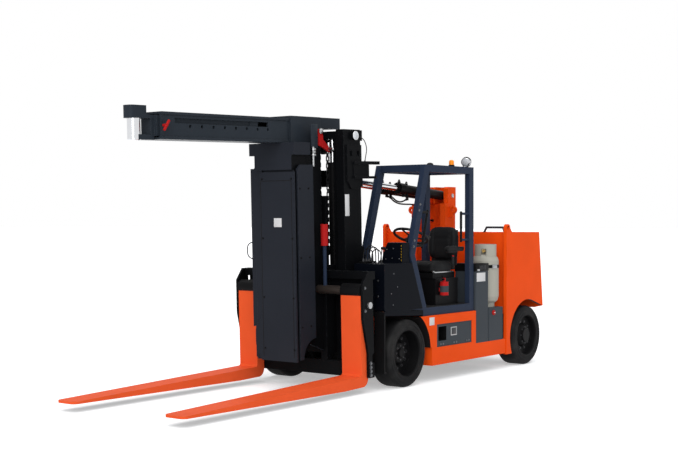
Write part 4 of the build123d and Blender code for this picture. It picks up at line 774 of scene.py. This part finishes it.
GRAB_Y = 838
GRAB_R = 0.0142
GRAB_BENDS = (
    (-440, 1848), (-436, 1834), (-337, 1476), (-333, 1462),
    (-1129, 1835), (-1129, 1821), (-1129, 1529), (-1129, 1515),
)
bm = bmesh.new()
for x, z in GRAB_BENDS:
    put_ball(bm, at(x, GRAB_Y, z), GRAB_R, 14, 10)
finish_mesh("grab_rail_bends", bm, [SATIN_BLACK], "chassis")


# Steering wheel: padded ring, three spokes, hub and spinner knob

WHEEL_AT = at(-538, 560, 1575)
WHEEL_R = 0.19
WHEEL_BAR_R = 0.015
WHEEL_SPOKES = 3
SPOKE_MIDDLE, SPOKE_DROP = 0.1, 0.008
SPOKE_SIZE = (0.17, 0.026, 0.009)
WHEEL_LEAN = math.radians(25)
WHEEL_UP = Vector((-math.sin(WHEEL_LEAN), 0, math.cos(WHEEL_LEAN)))
WHEEL_FORE = Vector((math.cos(WHEEL_LEAN), 0, math.sin(WHEEL_LEAN)))
HUB_PROFILE = [(-0.03, 0.036), (-0.004, 0.038), (0.004, 0.034), (0.008, 0.02), (0.009, 0.006)]
KNOB_TO = -WHEEL_FORE * 0.6 + LEFT * 0.8
KNOB_PROFILE = [
    (0.008, 0.008), (0.020, 0.008), (0.024, 0.02), (0.042, 0.022), (0.051, 0.014), (0.053, 0.004),
]
bm = bmesh.new()
put_ring(bm, WHEEL_AT, WHEEL_UP, WHEEL_R, WHEEL_BAR_R, 64, 12)
for i in range(WHEEL_SPOKES):
    turn = 2 * math.pi * i / WHEEL_SPOKES
    spoke = WHEEL_FORE * math.cos(turn) + LEFT * math.sin(turn)
    along_spoke = (spoke, WHEEL_UP.cross(spoke), WHEEL_UP)
    spoke_at = WHEEL_AT + spoke * SPOKE_MIDDLE - WHEEL_UP * SPOKE_DROP
    put_box(bm, spoke_at, SPOKE_SIZE, along_spoke, round_edge=0.003)
put_lathe(bm, WHEEL_AT, WHEEL_UP, HUB_PROFILE)
put_lathe(bm, WHEEL_AT + KNOB_TO * WHEEL_R, WHEEL_UP, KNOB_PROFILE)
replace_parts(finish_mesh("steering_ring", bm, [PLASTIC], "steering_wheel"), "steering_wheel")


# Console on the cowl: screws, edge strip, driver's dials, hand levers

COWL_TOP_Z = 1300
CONSOLE_FRONT_X = 60
CONSOLE_BACK_X = -72
CONSOLE_SCREWS = ((650, 1440), (735, 1450), (640, 1340), (720, 1350), (810, 1345))
rows = [(at(CONSOLE_FRONT_X, y, z), FORE, 0.007) for y, z in CONSOLE_SCREWS]
bolt_set("console_screws", "chassis", BOLT_STEEL, rows)

STRIP_Y, STRIP_LOW_Z = 838, 1330
STRIP_MARKS = 6
STRIP_PITCH = 30
bm = bmesh.new()
for i in range(STRIP_MARKS):
    mark = at(CONSOLE_FRONT_X + 1, STRIP_Y, STRIP_LOW_Z + STRIP_PITCH * i)
    put_box(bm, mark, (0.003, 0.006, 0.018), round_edge=0.0012)
finish_mesh("console_strip", bm, [YELLOW], "chassis")

# left, up, radius in metres
DIALS = ((690, 1440, 0.038), (785, 1440, 0.038), (735, 1360, 0.026))
bm = bmesh.new()
for y, z, r in DIALS:
    dial = at(CONSOLE_BACK_X, y, z)
    rim = [(-0.002, r), (0.004, r), (0.007, r * 0.92), (0.0075, r * 0.84)]
    face = [(0.007, r * 0.84), (0.008, r * 0.83)]
    put_lathe(bm, dial, -FORE, rim)
    put_lathe(bm, dial, -FORE, face, index=1)
    put_box(bm, dial - FORE * 0.009 + UP * r * 0.3, (0.0015, 0.003, r * 0.7), index=2)
finish_mesh("dash_dials", bm, [SATIN_BLACK, BLANK, RED], "chassis")

LEVERS = 3
LEVER_STEP_X, LEVER_STEP_Y = 8, 32
LEVER_LEAN = Vector((-0.035, 0, 0.15))
LEVER_R = 0.0055
LEVER_BALL_R = 0.017
LEVER_BOOT = [(0, 0.015), (0.012, 0.013), (0.022, 0.007)]
bm = bmesh.new()
for i in range(LEVERS):
    foot = at(-10 + LEVER_STEP_X * i, 520 + LEVER_STEP_Y * i, COWL_TOP_Z)
    put_lathe(bm, foot, UP, LEVER_BOOT, 16, index=1)
    put_cylinder(bm, foot, foot + LEVER_LEAN, LEVER_R, 12)
    put_ball(bm, foot + LEVER_LEAN, LEVER_BALL_R)
finish_mesh("hand_levers", bm, [PLASTIC, HOSE], "chassis")


# Seat: stuffed cushion, backrest and arm pad, frame, slides and belt buckle

PAD_CUTS = 21
PUFF_FRAMES = 20
PUFF_PRESSURE = 4
# Sewn form of a pad: places and widths as shares of its half size, depths in metres
BOLSTER_AT, BOLSTER_WIDTH = 0.78, 0.2
LONG_SEAM_AT, LONG_SEAM_WIDTH, LONG_SEAM_DEPTH = 0.52, 0.035, 0.011
CROSS_SEAM_AT, CROSS_SEAM_WIDTH, CROSS_SEAM_DEPTH = 0.25, 0.04, 0.008
CROSS_SEAM_END = 0.55
END_PULL = 0.05


def ridge(place, middle, width):
    return math.exp(-((place - middle) / width) ** 2)


def puff(obj, cap):
    """Inflates the pad a little as cloth, and keeps each point within the cap of where it was sewn."""
    sewn = [vert.co.copy() for vert in obj.data.vertices]
    cloth = obj.modifiers.new("stuffing", "CLOTH")
    cloth.settings.use_pressure = True
    cloth.settings.uniform_pressure_force = PUFF_PRESSURE
    cloth.settings.effector_weights.gravity = 0
    cloth.point_cache.frame_end = PUFF_FRAMES
    scene = bpy.context.scene
    for tick in range(1, PUFF_FRAMES + 1):
        scene.frame_set(tick)
    stuffed = obj.evaluated_get(bpy.context.evaluated_depsgraph_get())
    swollen = [vert.co.copy() for vert in stuffed.data.vertices]
    obj.modifiers.remove(cloth)
    scene.frame_set(1)
    for vert, was, now in zip(obj.data.vertices, sewn, swollen):
        step = now - was
        if step.length > cap:
            step *= cap / step.length
        vert.co = was + step
    obj.data.shade_smooth()


def cushion(name, middle, half, axes, crown, bolster, cap, square=5):
    """A stuffed pad: a rounded block with a crowned face, sewn channels and raised side bolsters."""
    bm = bmesh.new()
    bmesh.ops.create_cube(bm, size=2)
    bmesh.ops.subdivide_edges(bm, edges=bm.edges[:], cuts=PAD_CUTS, use_grid_fill=True)
    for vert in bm.verts:
        along, across, out = vert.co
        swell = (abs(along) ** square + abs(across) ** square + abs(out) ** square) ** (1 / square)
        along, across, out = along / swell, across / swell, out / swell
        rise = crown * (1 - along ** 2) * (1 - across ** 2)
        rise += bolster * ridge(abs(across), BOLSTER_AT, BOLSTER_WIDTH)
        rise -= LONG_SEAM_DEPTH * ridge(abs(across), LONG_SEAM_AT, LONG_SEAM_WIDTH)
        if abs(across) < CROSS_SEAM_END:
            rise -= CROSS_SEAM_DEPTH * ridge(along, CROSS_SEAM_AT, CROSS_SEAM_WIDTH)
        pull = 1 - END_PULL * (1 - across ** 2) * abs(along) ** 6
        vert.co = (along * half[0] * pull, across * half[1], out * half[2] + max(0.0, out) * rise)
    turn = Matrix(axes).transposed().to_4x4()
    bmesh.ops.transform(bm, matrix=Matrix.Translation(middle) @ turn, verts=bm.verts)
    obj = finish_mesh(name, bm, [VINYL], "chassis", sharp_from=60)
    puff(obj, cap)
    return obj


SEAT_Y = 550
ARM_Y = 783
RECLINE = math.radians(4)
BACK_UP = Vector((-math.sin(RECLINE), 0, math.cos(RECLINE)))
BACK_OUT = Vector((math.cos(RECLINE), 0, math.sin(RECLINE)))
RECLINED = (BACK_OUT, LEFT, BACK_UP)
seat_cushion = cushion(
    "seat_cushion", at(-930, SEAT_Y, 1222), (0.226, 0.196, 0.052), UPRIGHT,
    crown=0.012, bolster=0.014, cap=0.006)
seat_back = cushion(
    "seat_back", at(-1218, SEAT_Y, 1487), (0.2, 0.2, 0.036), (BACK_UP, -LEFT, BACK_OUT),
    crown=0.01, bolster=0.02, cap=0.006, square=3.2)
cushion(
    "seat_arm", at(-1030, ARM_Y, 1430), (0.13, 0.028, 0.026), UPRIGHT,
    crown=0.004, bolster=0.0, cap=0.003)
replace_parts(seat_cushion, "seat")
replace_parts(seat_back, "seat")

# Stay and bar of the arm pad, shell and foot of the backrest, tray of the arm pad
SEAT_SHELLS = (
    (at(-1228, 742, 1428), (0.055, 0.12, 0.045), UPRIGHT, 0.01),
    (at(-1150, ARM_Y, 1418), (0.2, 0.034, 0.036), UPRIGHT, 0.01),
    (at(-1246, SEAT_Y, 1440), (0.02, 0.34, 0.4), RECLINED, 0.008),
    (at(-1205, SEAT_Y, 1240), (0.04, 0.3, 0.1), UPRIGHT, 0.01),
    (at(-1030, ARM_Y, 1396), (0.2, 0.034, 0.018), UPRIGHT, 0.006),
)
SLIDE_SPREAD = 165
SLIDE_SIZE = (0.4, 0.03, 0.014)
SLIDE_LEVER_Y = SEAT_Y + 190
BUCKLE_X, BUCKLE_Y = -1080, SEAT_Y + 212
bm = bmesh.new()
for middle, size, axes, edge in SEAT_SHELLS:
    put_box(bm, middle, size, axes, round_edge=edge)
for y in (SEAT_Y - SLIDE_SPREAD, SEAT_Y + SLIDE_SPREAD):
    put_box(bm, at(-950, y, 1172), SLIDE_SIZE, index=1, round_edge=0.003)
put_cylinder(bm, at(-725, SLIDE_LEVER_Y, 1180), at(-690, SLIDE_LEVER_Y, 1184), 0.009, 12, index=1)
put_box(bm, at(BUCKLE_X, BUCKLE_Y, 1300), (0.04, 0.016, 0.09), round_edge=0.005)
put_box(bm, at(BUCKLE_X, BUCKLE_Y + 2, 1346), (0.028, 0.012, 0.02), index=2, round_edge=0.003)
finish_mesh("seat_frame", bm, [PLASTIC, STEEL, RED], "chassis")


# Extinguisher: valve head, lever and a bare band

BOTTLE_X, BOTTLE_Y = -840, 798
BOTTLE_BAND_Z = 955
BOTTLE_BAND = [(0, 0.0485), (0.07, 0.0485)]
BOTTLE_HEAD_Z, BOTTLE_LEVER_Z = 1096, 1122
BOTTLE_LEVER_AXES = (Vector((0.94, 0, 0.34)), LEFT, Vector((-0.34, 0, 0.94)))
bm = bmesh.new()
put_box(bm, at(BOTTLE_X, BOTTLE_Y, BOTTLE_HEAD_Z), (0.05, 0.03, 0.02), round_edge=0.004)
bottle_lever = at(BOTTLE_X + 10, BOTTLE_Y, BOTTLE_LEVER_Z)
put_box(bm, bottle_lever, (0.075, 0.02, 0.007), BOTTLE_LEVER_AXES, round_edge=0.003)
put_lathe(bm, at(BOTTLE_X, BOTTLE_Y, BOTTLE_BAND_Z), UP, BOTTLE_BAND, 40, index=1)
finish_mesh("extinguisher_head", bm, [SATIN_BLACK, GREY], "chassis")


# Valve block beside the cowl's top, and its hoses

VALVE_X = (175, 225, 275, 325)
VALVE_Y = 540
VALVE_BLOCK_SIZE = (0.2, 0.08, 0.024)
VALVE_FITTING = [(0, 0.017), (0.014, 0.017), (0.016, 0.012), (0.03, 0.012)]
VALVE_PORT_Z = COWL_TOP_Z + 27
VALVE_HOSE = 0.012
HOSE_TURN = 62
HOSE_ARCH_Z = (1385, 1410, 1425, 1395)
HALF_TURN = [math.radians(180 - 45 * k) for k in range(5)]
bm = bmesh.new()
block_middle = at(sum(VALVE_X) / len(VALVE_X), VALVE_Y, COWL_TOP_Z + 10)
put_box(bm, block_middle, VALVE_BLOCK_SIZE, round_edge=0.006)
for x in VALVE_X:
    put_lathe(bm, at(x, VALVE_Y, COWL_TOP_Z + 18), UP, VALVE_FITTING, 12, index=1)
finish_mesh("valve_block", bm, [SATIN_BLACK, DARK_STEEL], "chassis")
for i, (x, arch_z) in enumerate(zip(VALVE_X, HOSE_ARCH_Z)):
    over = [at(x, VALVE_Y + HOSE_TURN * (1 + math.cos(t)), arch_z + HOSE_TURN * math.sin(t))
            for t in HALF_TURN]
    points = [at(x, VALVE_Y, VALVE_PORT_Z), *over, at(x, VALVE_Y + 2 * HOSE_TURN, COWL_TOP_Z + 1)]
    free_cord(f"valve_hose_{i + 1}", points, VALVE_HOSE, "chassis")


# Mast: bare plate, lamp face and its cable, leaf chains

plate_set("mast_plate", "mast_outer", [BLANK], [
    (on_mast(424, 441, 1919), (0.072, 0.225, PLATE_THICK), ON_MAST_SIDE, 0),
])
MAST_LAMP_X, MAST_LAMP_Z = 305, 2640
MAST_LAMP_FACE_Y = 480
MAST_LAMP_RIM_R, MAST_LAMP_RIM_THICK = 0.041, 0.006
MAST_LAMP_LENS = [(0.001, 0.038), (0.006, 0.036), (0.010, 0.026), (0.012, 0.01)]
mast_lamp = on_mast(MAST_LAMP_X, MAST_LAMP_FACE_Y, MAST_LAMP_Z)
bm = bmesh.new()
put_ring(bm, mast_lamp, LEFT, MAST_LAMP_RIM_R, MAST_LAMP_RIM_THICK)
put_lathe(bm, mast_lamp, LEFT, MAST_LAMP_LENS, index=1)
finish_mesh("mast_lamp_face", bm, [CHROME, LENS], "mast_outer")

LAMP_CABLE = 0.009
free_cord("mast_lamp_cable", [
    on_mast(262, 466, 2636), on_mast(225, 468, 2634), on_mast(140, 470, 2600),
    on_mast(92, 468, 2510), on_mast(100, 455, 2430), on_mast(104, 446, 2376),
], LAMP_CABLE, "mast_outer")

CHAIN_Y = 80
CHAIN_PITCH = 0.0381
CHAIN_FRONT_Z = 460
CHAIN_REAR_Z = 1435
SHEAVE_X, SHEAVE_Z = 345, 2515
SHEAVE_LINE_R = 71
SHEAVE_STEPS = 18
LINK_SIZE = (CHAIN_PITCH + 0.01, 0.005, 0.016)
INNER_LINKS = (-0.0085, 0.0, 0.0085)
OUTER_LINKS = (-0.0145, 0.0145)
PIN_HALF = 0.0178
PIN_R = 0.0055


def chain_line():
    """Places along the leaf chain from its front anchor, over the sheave, to its rear anchor."""
    front_x, rear_x = SHEAVE_X + SHEAVE_LINE_R, SHEAVE_X - SHEAVE_LINE_R
    line = [(front_x, CHAIN_FRONT_Z), (front_x, SHEAVE_Z)]
    for i in range(1, SHEAVE_STEPS):
        turn = math.pi * i / SHEAVE_STEPS
        line.append((SHEAVE_X + SHEAVE_LINE_R * math.cos(turn), SHEAVE_Z + SHEAVE_LINE_R * math.sin(turn)))
    line += [(rear_x, SHEAVE_Z), (rear_x, CHAIN_REAR_Z)]
    places = []
    carry = 0.0
    for (xa, za), (xb, zb) in zip(line, line[1:]):
        a, b = on_mast(xa, 0, za), on_mast(xb, 0, zb)
        run = (b - a).length
        while carry < run:
            places.append(a.lerp(b, carry / run))
            carry += CHAIN_PITCH
        carry -= run
    return places


def chain_piece(name, pins):
    """Two leaf chains side by side: plates in turn inside and outside, on pins."""
    bm = bmesh.new()
    for sign in (-1, 1):
        middle = LEFT * sign * CHAIN_Y * MM
        for i, (a, b) in enumerate(zip(pins, pins[1:])):
            run = (b - a).normalized()
            axes = (run, LEFT, run.cross(LEFT))
            for offset in OUTER_LINKS if i % 2 else INNER_LINKS:
                put_box(bm, (a + b) / 2 + middle + LEFT * offset, LINK_SIZE, axes)
            put_cylinder(bm, a + middle - LEFT * PIN_HALF, a + middle + LEFT * PIN_HALF, PIN_R, 8)
    piece = finish_mesh(name, bm, [DARK_STEEL], "mast_inner")
    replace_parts(piece, "lift_chains")
    return piece


pins = chain_line()
sheave_front = on_mast(SHEAVE_X + SHEAVE_LINE_R, 0, SHEAVE_Z)
turn_at = next(i for i, pin in enumerate(pins) if (sheave_front - pin).dot(MAST_UP) < CHAIN_PITCH)
front_chain = chain_piece("chain_front", pins[:turn_at + 1])
chain_piece("chain_rear", pins[turn_at:])
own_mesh(front_chain)


# Carriage, column and boom: bolts, bare plate, painted seam shadows, cable, strap with its stud, lock grip

BRACKET_Y = 845
LOW_BOLT_X, LOW_BOLT_Z = 622, (205, 245, 285, 325)
HIGH_BOLT_X, HIGH_BOLT_Z = 700, (1090, 860)
for side, sign in SIDES:
    out = LEFT * sign
    rows = [(on_mast(LOW_BOLT_X, sign * BRACKET_Y, z), out, 0.014) for z in LOW_BOLT_Z]
    rows += [(on_mast(HIGH_BOLT_X, sign * BRACKET_Y, z), out, 0.012) for z in HIGH_BOLT_Z]
    bolt_set(f"bracket_bolts_{side}", "fork_carriage", BOLT_STEEL, rows)

COVER_FACE_X = 1117
COLUMN_HALF = 295
plate_set("column_plate", "fork_carriage", [BLANK], [
    (on_mast(COVER_FACE_X + 1, 80, 1760), (0.1, 0.09, PLATE_THICK), ON_COLUMN_FACE, 0),
])
FACE_SCREW_Y, FACE_SCREW_Z = (-120, 265), (480, 1000, 1600, 2200)
SIDE_SCREW_X, SIDE_SCREW_Z = (880, 1020), (700, 1400, 2100)
COLUMN_SCREW_R = 0.008
rows = [(on_mast(COVER_FACE_X, y, z), MAST_FORE, COLUMN_SCREW_R) for y in FACE_SCREW_Y for z in FACE_SCREW_Z]
for _, sign in SIDES:
    rows += [(on_mast(x, sign * COLUMN_HALF, z), LEFT * sign, COLUMN_SCREW_R)
             for x in SIDE_SCREW_X for z in SIDE_SCREW_Z]
bolt_set("column_screws", "fork_carriage", SATIN_BLACK, rows)

# Painted shade: thin near-black strips on the cover's face, standing for the shade in the gaps between its
# panels
SEAM_WIDTH = 0.006
SEAM_DEPTH = 0.002
# left, up, width, height
COLUMN_SEAM_SHADOWS = (
    (-140, 1290, SEAM_WIDTH, 1.78), (262, 1290, SEAM_WIDTH, 1.78), (60, 2182, 0.4, SEAM_WIDTH),
)
bm = bmesh.new()
for y, z, width, height in COLUMN_SEAM_SHADOWS:
    put_box(bm, on_mast(COVER_FACE_X, y, z), (SEAM_DEPTH, width, height), LEANED, round_edge=0.0008)
finish_mesh("column_seam_shadows", bm, [SHADOW_BLACK], "fork_carriage")

COLUMN_CABLE = 0.011
free_cord("column_cable", [
    on_mast(1030, -296, 1560), on_mast(1034, -340, 1558), on_mast(1040, -396, 1530),
    on_mast(1042, -402, 1468), on_mast(1040, -396, 1408), on_mast(1034, -340, 1378),
    on_mast(1030, -296, 1376),
], COLUMN_CABLE, "fork_carriage")

STRAP_SIZE = (0.105, 0.016, 0.24)
STUD_Y = 252
STUD_R = 0.013
# foot of each ring on the stud, and its sides: washer, nut, washer
STUD_RINGS = ((2410, 24), (2438, 6), (2466, 24))
STUD_RING_R, STUD_RING_HEIGHT = 0.03, 18
bm = bmesh.new()
put_box(bm, at(782, 247, 2612), STRAP_SIZE, LEANED, round_edge=0.004)
put_cylinder(bm, at(806, STUD_Y, 2500), at(800, STUD_Y, 2300), STUD_R, 16, index=1)
for z, sides in STUD_RINGS:
    ring_ends = (at(803, STUD_Y, z), at(803, STUD_Y, z + STUD_RING_HEIGHT))
    put_cylinder(bm, *ring_ends, STUD_RING_R, sides, index=1)
finish_mesh("boom_strap", bm, [BLACK, STEEL], "fork_carriage")

LOCK_GRIP = [(0, 0.013), (0.012, 0.017), (0.07, 0.017), (0.078, 0.011)]
LOCK_PIVOT = [(0, 0.03), (0.01, 0.03), (0.014, 0.022), (0.02, 0.02), (0.022, 0.008)]
bm = bmesh.new()
put_lathe(bm, on_mast(492, 258, 2502), LEFT, LOCK_GRIP, 20)
put_lathe(bm, on_mast(615, 260, 2686), LEFT, LOCK_PIVOT, 24)
finish_mesh("lock_grip", bm, [STEEL], "fork_carriage")


# Tilt cylinders and tower: lifting lugs, ports, hoses of the far cylinder, pin ends

BARREL_PIN_X, BARREL_PIN_Z = -1917, 2041
BARREL_Y = 115
BARREL_RUN = Vector((0.99733, 0, 0.07309))
BARREL_TOP = Vector((-BARREL_RUN.z, 0, BARREL_RUN.x))
ALONG_BARREL = (BARREL_RUN, LEFT, BARREL_RUN.cross(LEFT))


def on_barrel(along, y, drop):
    """A place on a tilt cylinder: along it from its rear pin, and below its middle line."""
    return at(BARREL_PIN_X, y, BARREL_PIN_Z) + BARREL_RUN * along * MM - BARREL_TOP * drop * MM


# along the barrel, and drop of the lug's foot
LUGS = ((965, -64), (815, -54))
LUG_SIZE = (0.05, 0.014, 0.024)
LUG_EYE_R, LUG_EYE_THICK = 0.013, 0.006
PORTS = (872, 795, 445)
PORT_R = 0.017
bm = bmesh.new()
for y in (BARREL_Y, -BARREL_Y):
    for along, drop in LUGS:
        foot = on_barrel(along, y, drop)
        put_box(bm, foot + UP * 6 * MM, LUG_SIZE, ALONG_BARREL, round_edge=0.005)
        put_ring(bm, foot + UP * 22 * MM, LEFT, LUG_EYE_R, LUG_EYE_THICK, 20, 8)
    for along in PORTS:
        put_cylinder(bm, on_barrel(along, y, 50), on_barrel(along, y, 90), PORT_R, 6)
finish_mesh("barrel_lugs", bm, [SATIN_BLACK], "tilt_barrels")

TILT_HOSE = 0.018
PORT_DROP = 76
free_cord("tilt_hose_long", [
    on_barrel(864, -BARREL_Y, PORT_DROP), at(-1110, -113, 2014), at(-1180, -106, 1966),
    at(-1280, -100, 1940), at(-1401, -95, 1936), at(-1560, -90, 1938), at(-1660, -82, 1890),
    at(-1740, -76, 1800), at(-1850, -70, 1748), at(-1952, -66, 1744),
], TILT_HOSE, "tilt_barrels")
free_cord("tilt_hose_short", [
    on_barrel(787, -BARREL_Y, PORT_DROP), at(-1180, -120, 2010), at(-1250, -126, 1976),
    at(-1330, -126, 1962), at(-1400, -122, 1972), on_barrel(453, -BARREL_Y, PORT_DROP),
], TILT_HOSE, "tilt_barrels")

TOWER_Y = 237
PIN_END = [(0, 0.026), (0.006, 0.026), (0.01, 0.02), (0.012, 0.008)]
bm = bmesh.new()
for _, sign in SIDES:
    put_lathe(bm, at(BARREL_PIN_X, sign * TOWER_Y, BARREL_PIN_Z), LEFT * sign, PIN_END)
finish_mesh("tower_pin_ends", bm, [STEEL], "chassis")


# Counterweight: small fittings at the upper rear corners

REAR_CORNER = (-2893, 866, 1552)
REAR_FITTING = (0.016, 0.04, 0.092)
ON_REAR_FACE = (Vector((0.9947, 0, -0.1026)), LEFT, Vector((0.1026, 0, 0.9947)))
bm = bmesh.new()
for _, sign in SIDES:
    x, y, z = REAR_CORNER
    put_box(bm, at(x, sign * y, z), REAR_FITTING, ON_REAR_FACE, round_edge=0.003)
finish_mesh("rear_fittings", bm, [SATIN_BLACK], "rear_unit")


# Floor, backdrop and light

FLOOR_SIZE = 400
FLOOR_PALE = (0.9, 0.9, 0.9, 1)
FLOOR_GLOW = 0.4
BACKDROP_LIGHT = (0.30, 0.31, 0.33, 1)
WHITE = (1, 1, 1, 1)


def seen_directly(tree):
    """One for rays that show the floor or the backdrop itself: to the camera, in metal and in glass."""
    path = add(tree, "ShaderNodeLightPath")
    shown = calc(tree, "MAXIMUM", path.outputs["Is Camera Ray"], path.outputs["Is Glossy Ray"])
    return calc(tree, "MAXIMUM", shown, path.outputs["Is Transmission Ray"])


bpy.ops.mesh.primitive_plane_add(size=FLOOR_SIZE, location=(0, 0, 0))
floor = bpy.context.object
floor.name = "floor"
floor_paint, tree, shader = material("floor")
shader.inputs["Base Color"].default_value = FLOOR_PALE
shader.inputs["Roughness"].default_value = 0.9
shader.inputs["Specular IOR Level"].default_value = 0.0
shader.inputs["Emission Color"].default_value = WHITE
tree.links.new(calc(tree, "MULTIPLY", seen_directly(tree), FLOOR_GLOW), shader.inputs["Emission Strength"])
floor.data.materials.append(floor_paint)

world = bpy.data.worlds.new("studio")
bpy.context.scene.world = world
world.use_nodes = True
tree = world.node_tree
shade = add(tree, "ShaderNodeMix", data_type="RGBA")
shade.inputs[6].default_value = BACKDROP_LIGHT
shade.inputs[7].default_value = WHITE
tree.links.new(seen_directly(tree), shade.inputs["Factor"])
tree.links.new(shade.outputs[2], tree.nodes["Background"].inputs["Color"])


def soft_sun(name, source, power, spread):
    """Wide, even light that comes from the source's side and shines on the middle of the truck."""
    data = bpy.data.lights.new(name, "SUN")
    data.energy = power
    data.angle = math.radians(spread)
    obj = bpy.data.objects.new(name, data)
    bpy.context.scene.collection.objects.link(obj)
    obj.location = source
    obj.rotation_mode = "QUATERNION"
    obj.rotation_quaternion = (-Vector(source)).to_track_quat("-Z", "Y")


soft_sun("sky", (1.5, 0.5, 9), power=1.6, spread=75)
soft_sun("front", (7.5, 5.0, 4.0), power=1.75, spread=50)


# Camera at the photograph's place

CAMERA_AT = at(10696, 8052, 1755)
CAMERA_YAW, CAMERA_PITCH = math.radians(37.05), math.radians(0.298)
camera = bpy.data.cameras.new("camera")
camera.sensor_width = 36
camera.lens = 65.31
eye = bpy.data.objects.new("camera", camera)
bpy.context.scene.collection.objects.link(eye)
eye.location = CAMERA_AT
eye.rotation_mode = "QUATERNION"
level = math.cos(CAMERA_PITCH)
look = Vector((-math.cos(CAMERA_YAW) * level, -math.sin(CAMERA_YAW) * level, -math.sin(CAMERA_PITCH)))
eye.rotation_quaternion = look.to_track_quat("-Z", "Y")
bpy.context.scene.camera = eye
bpy.context.scene.view_settings.view_transform = "Standard"
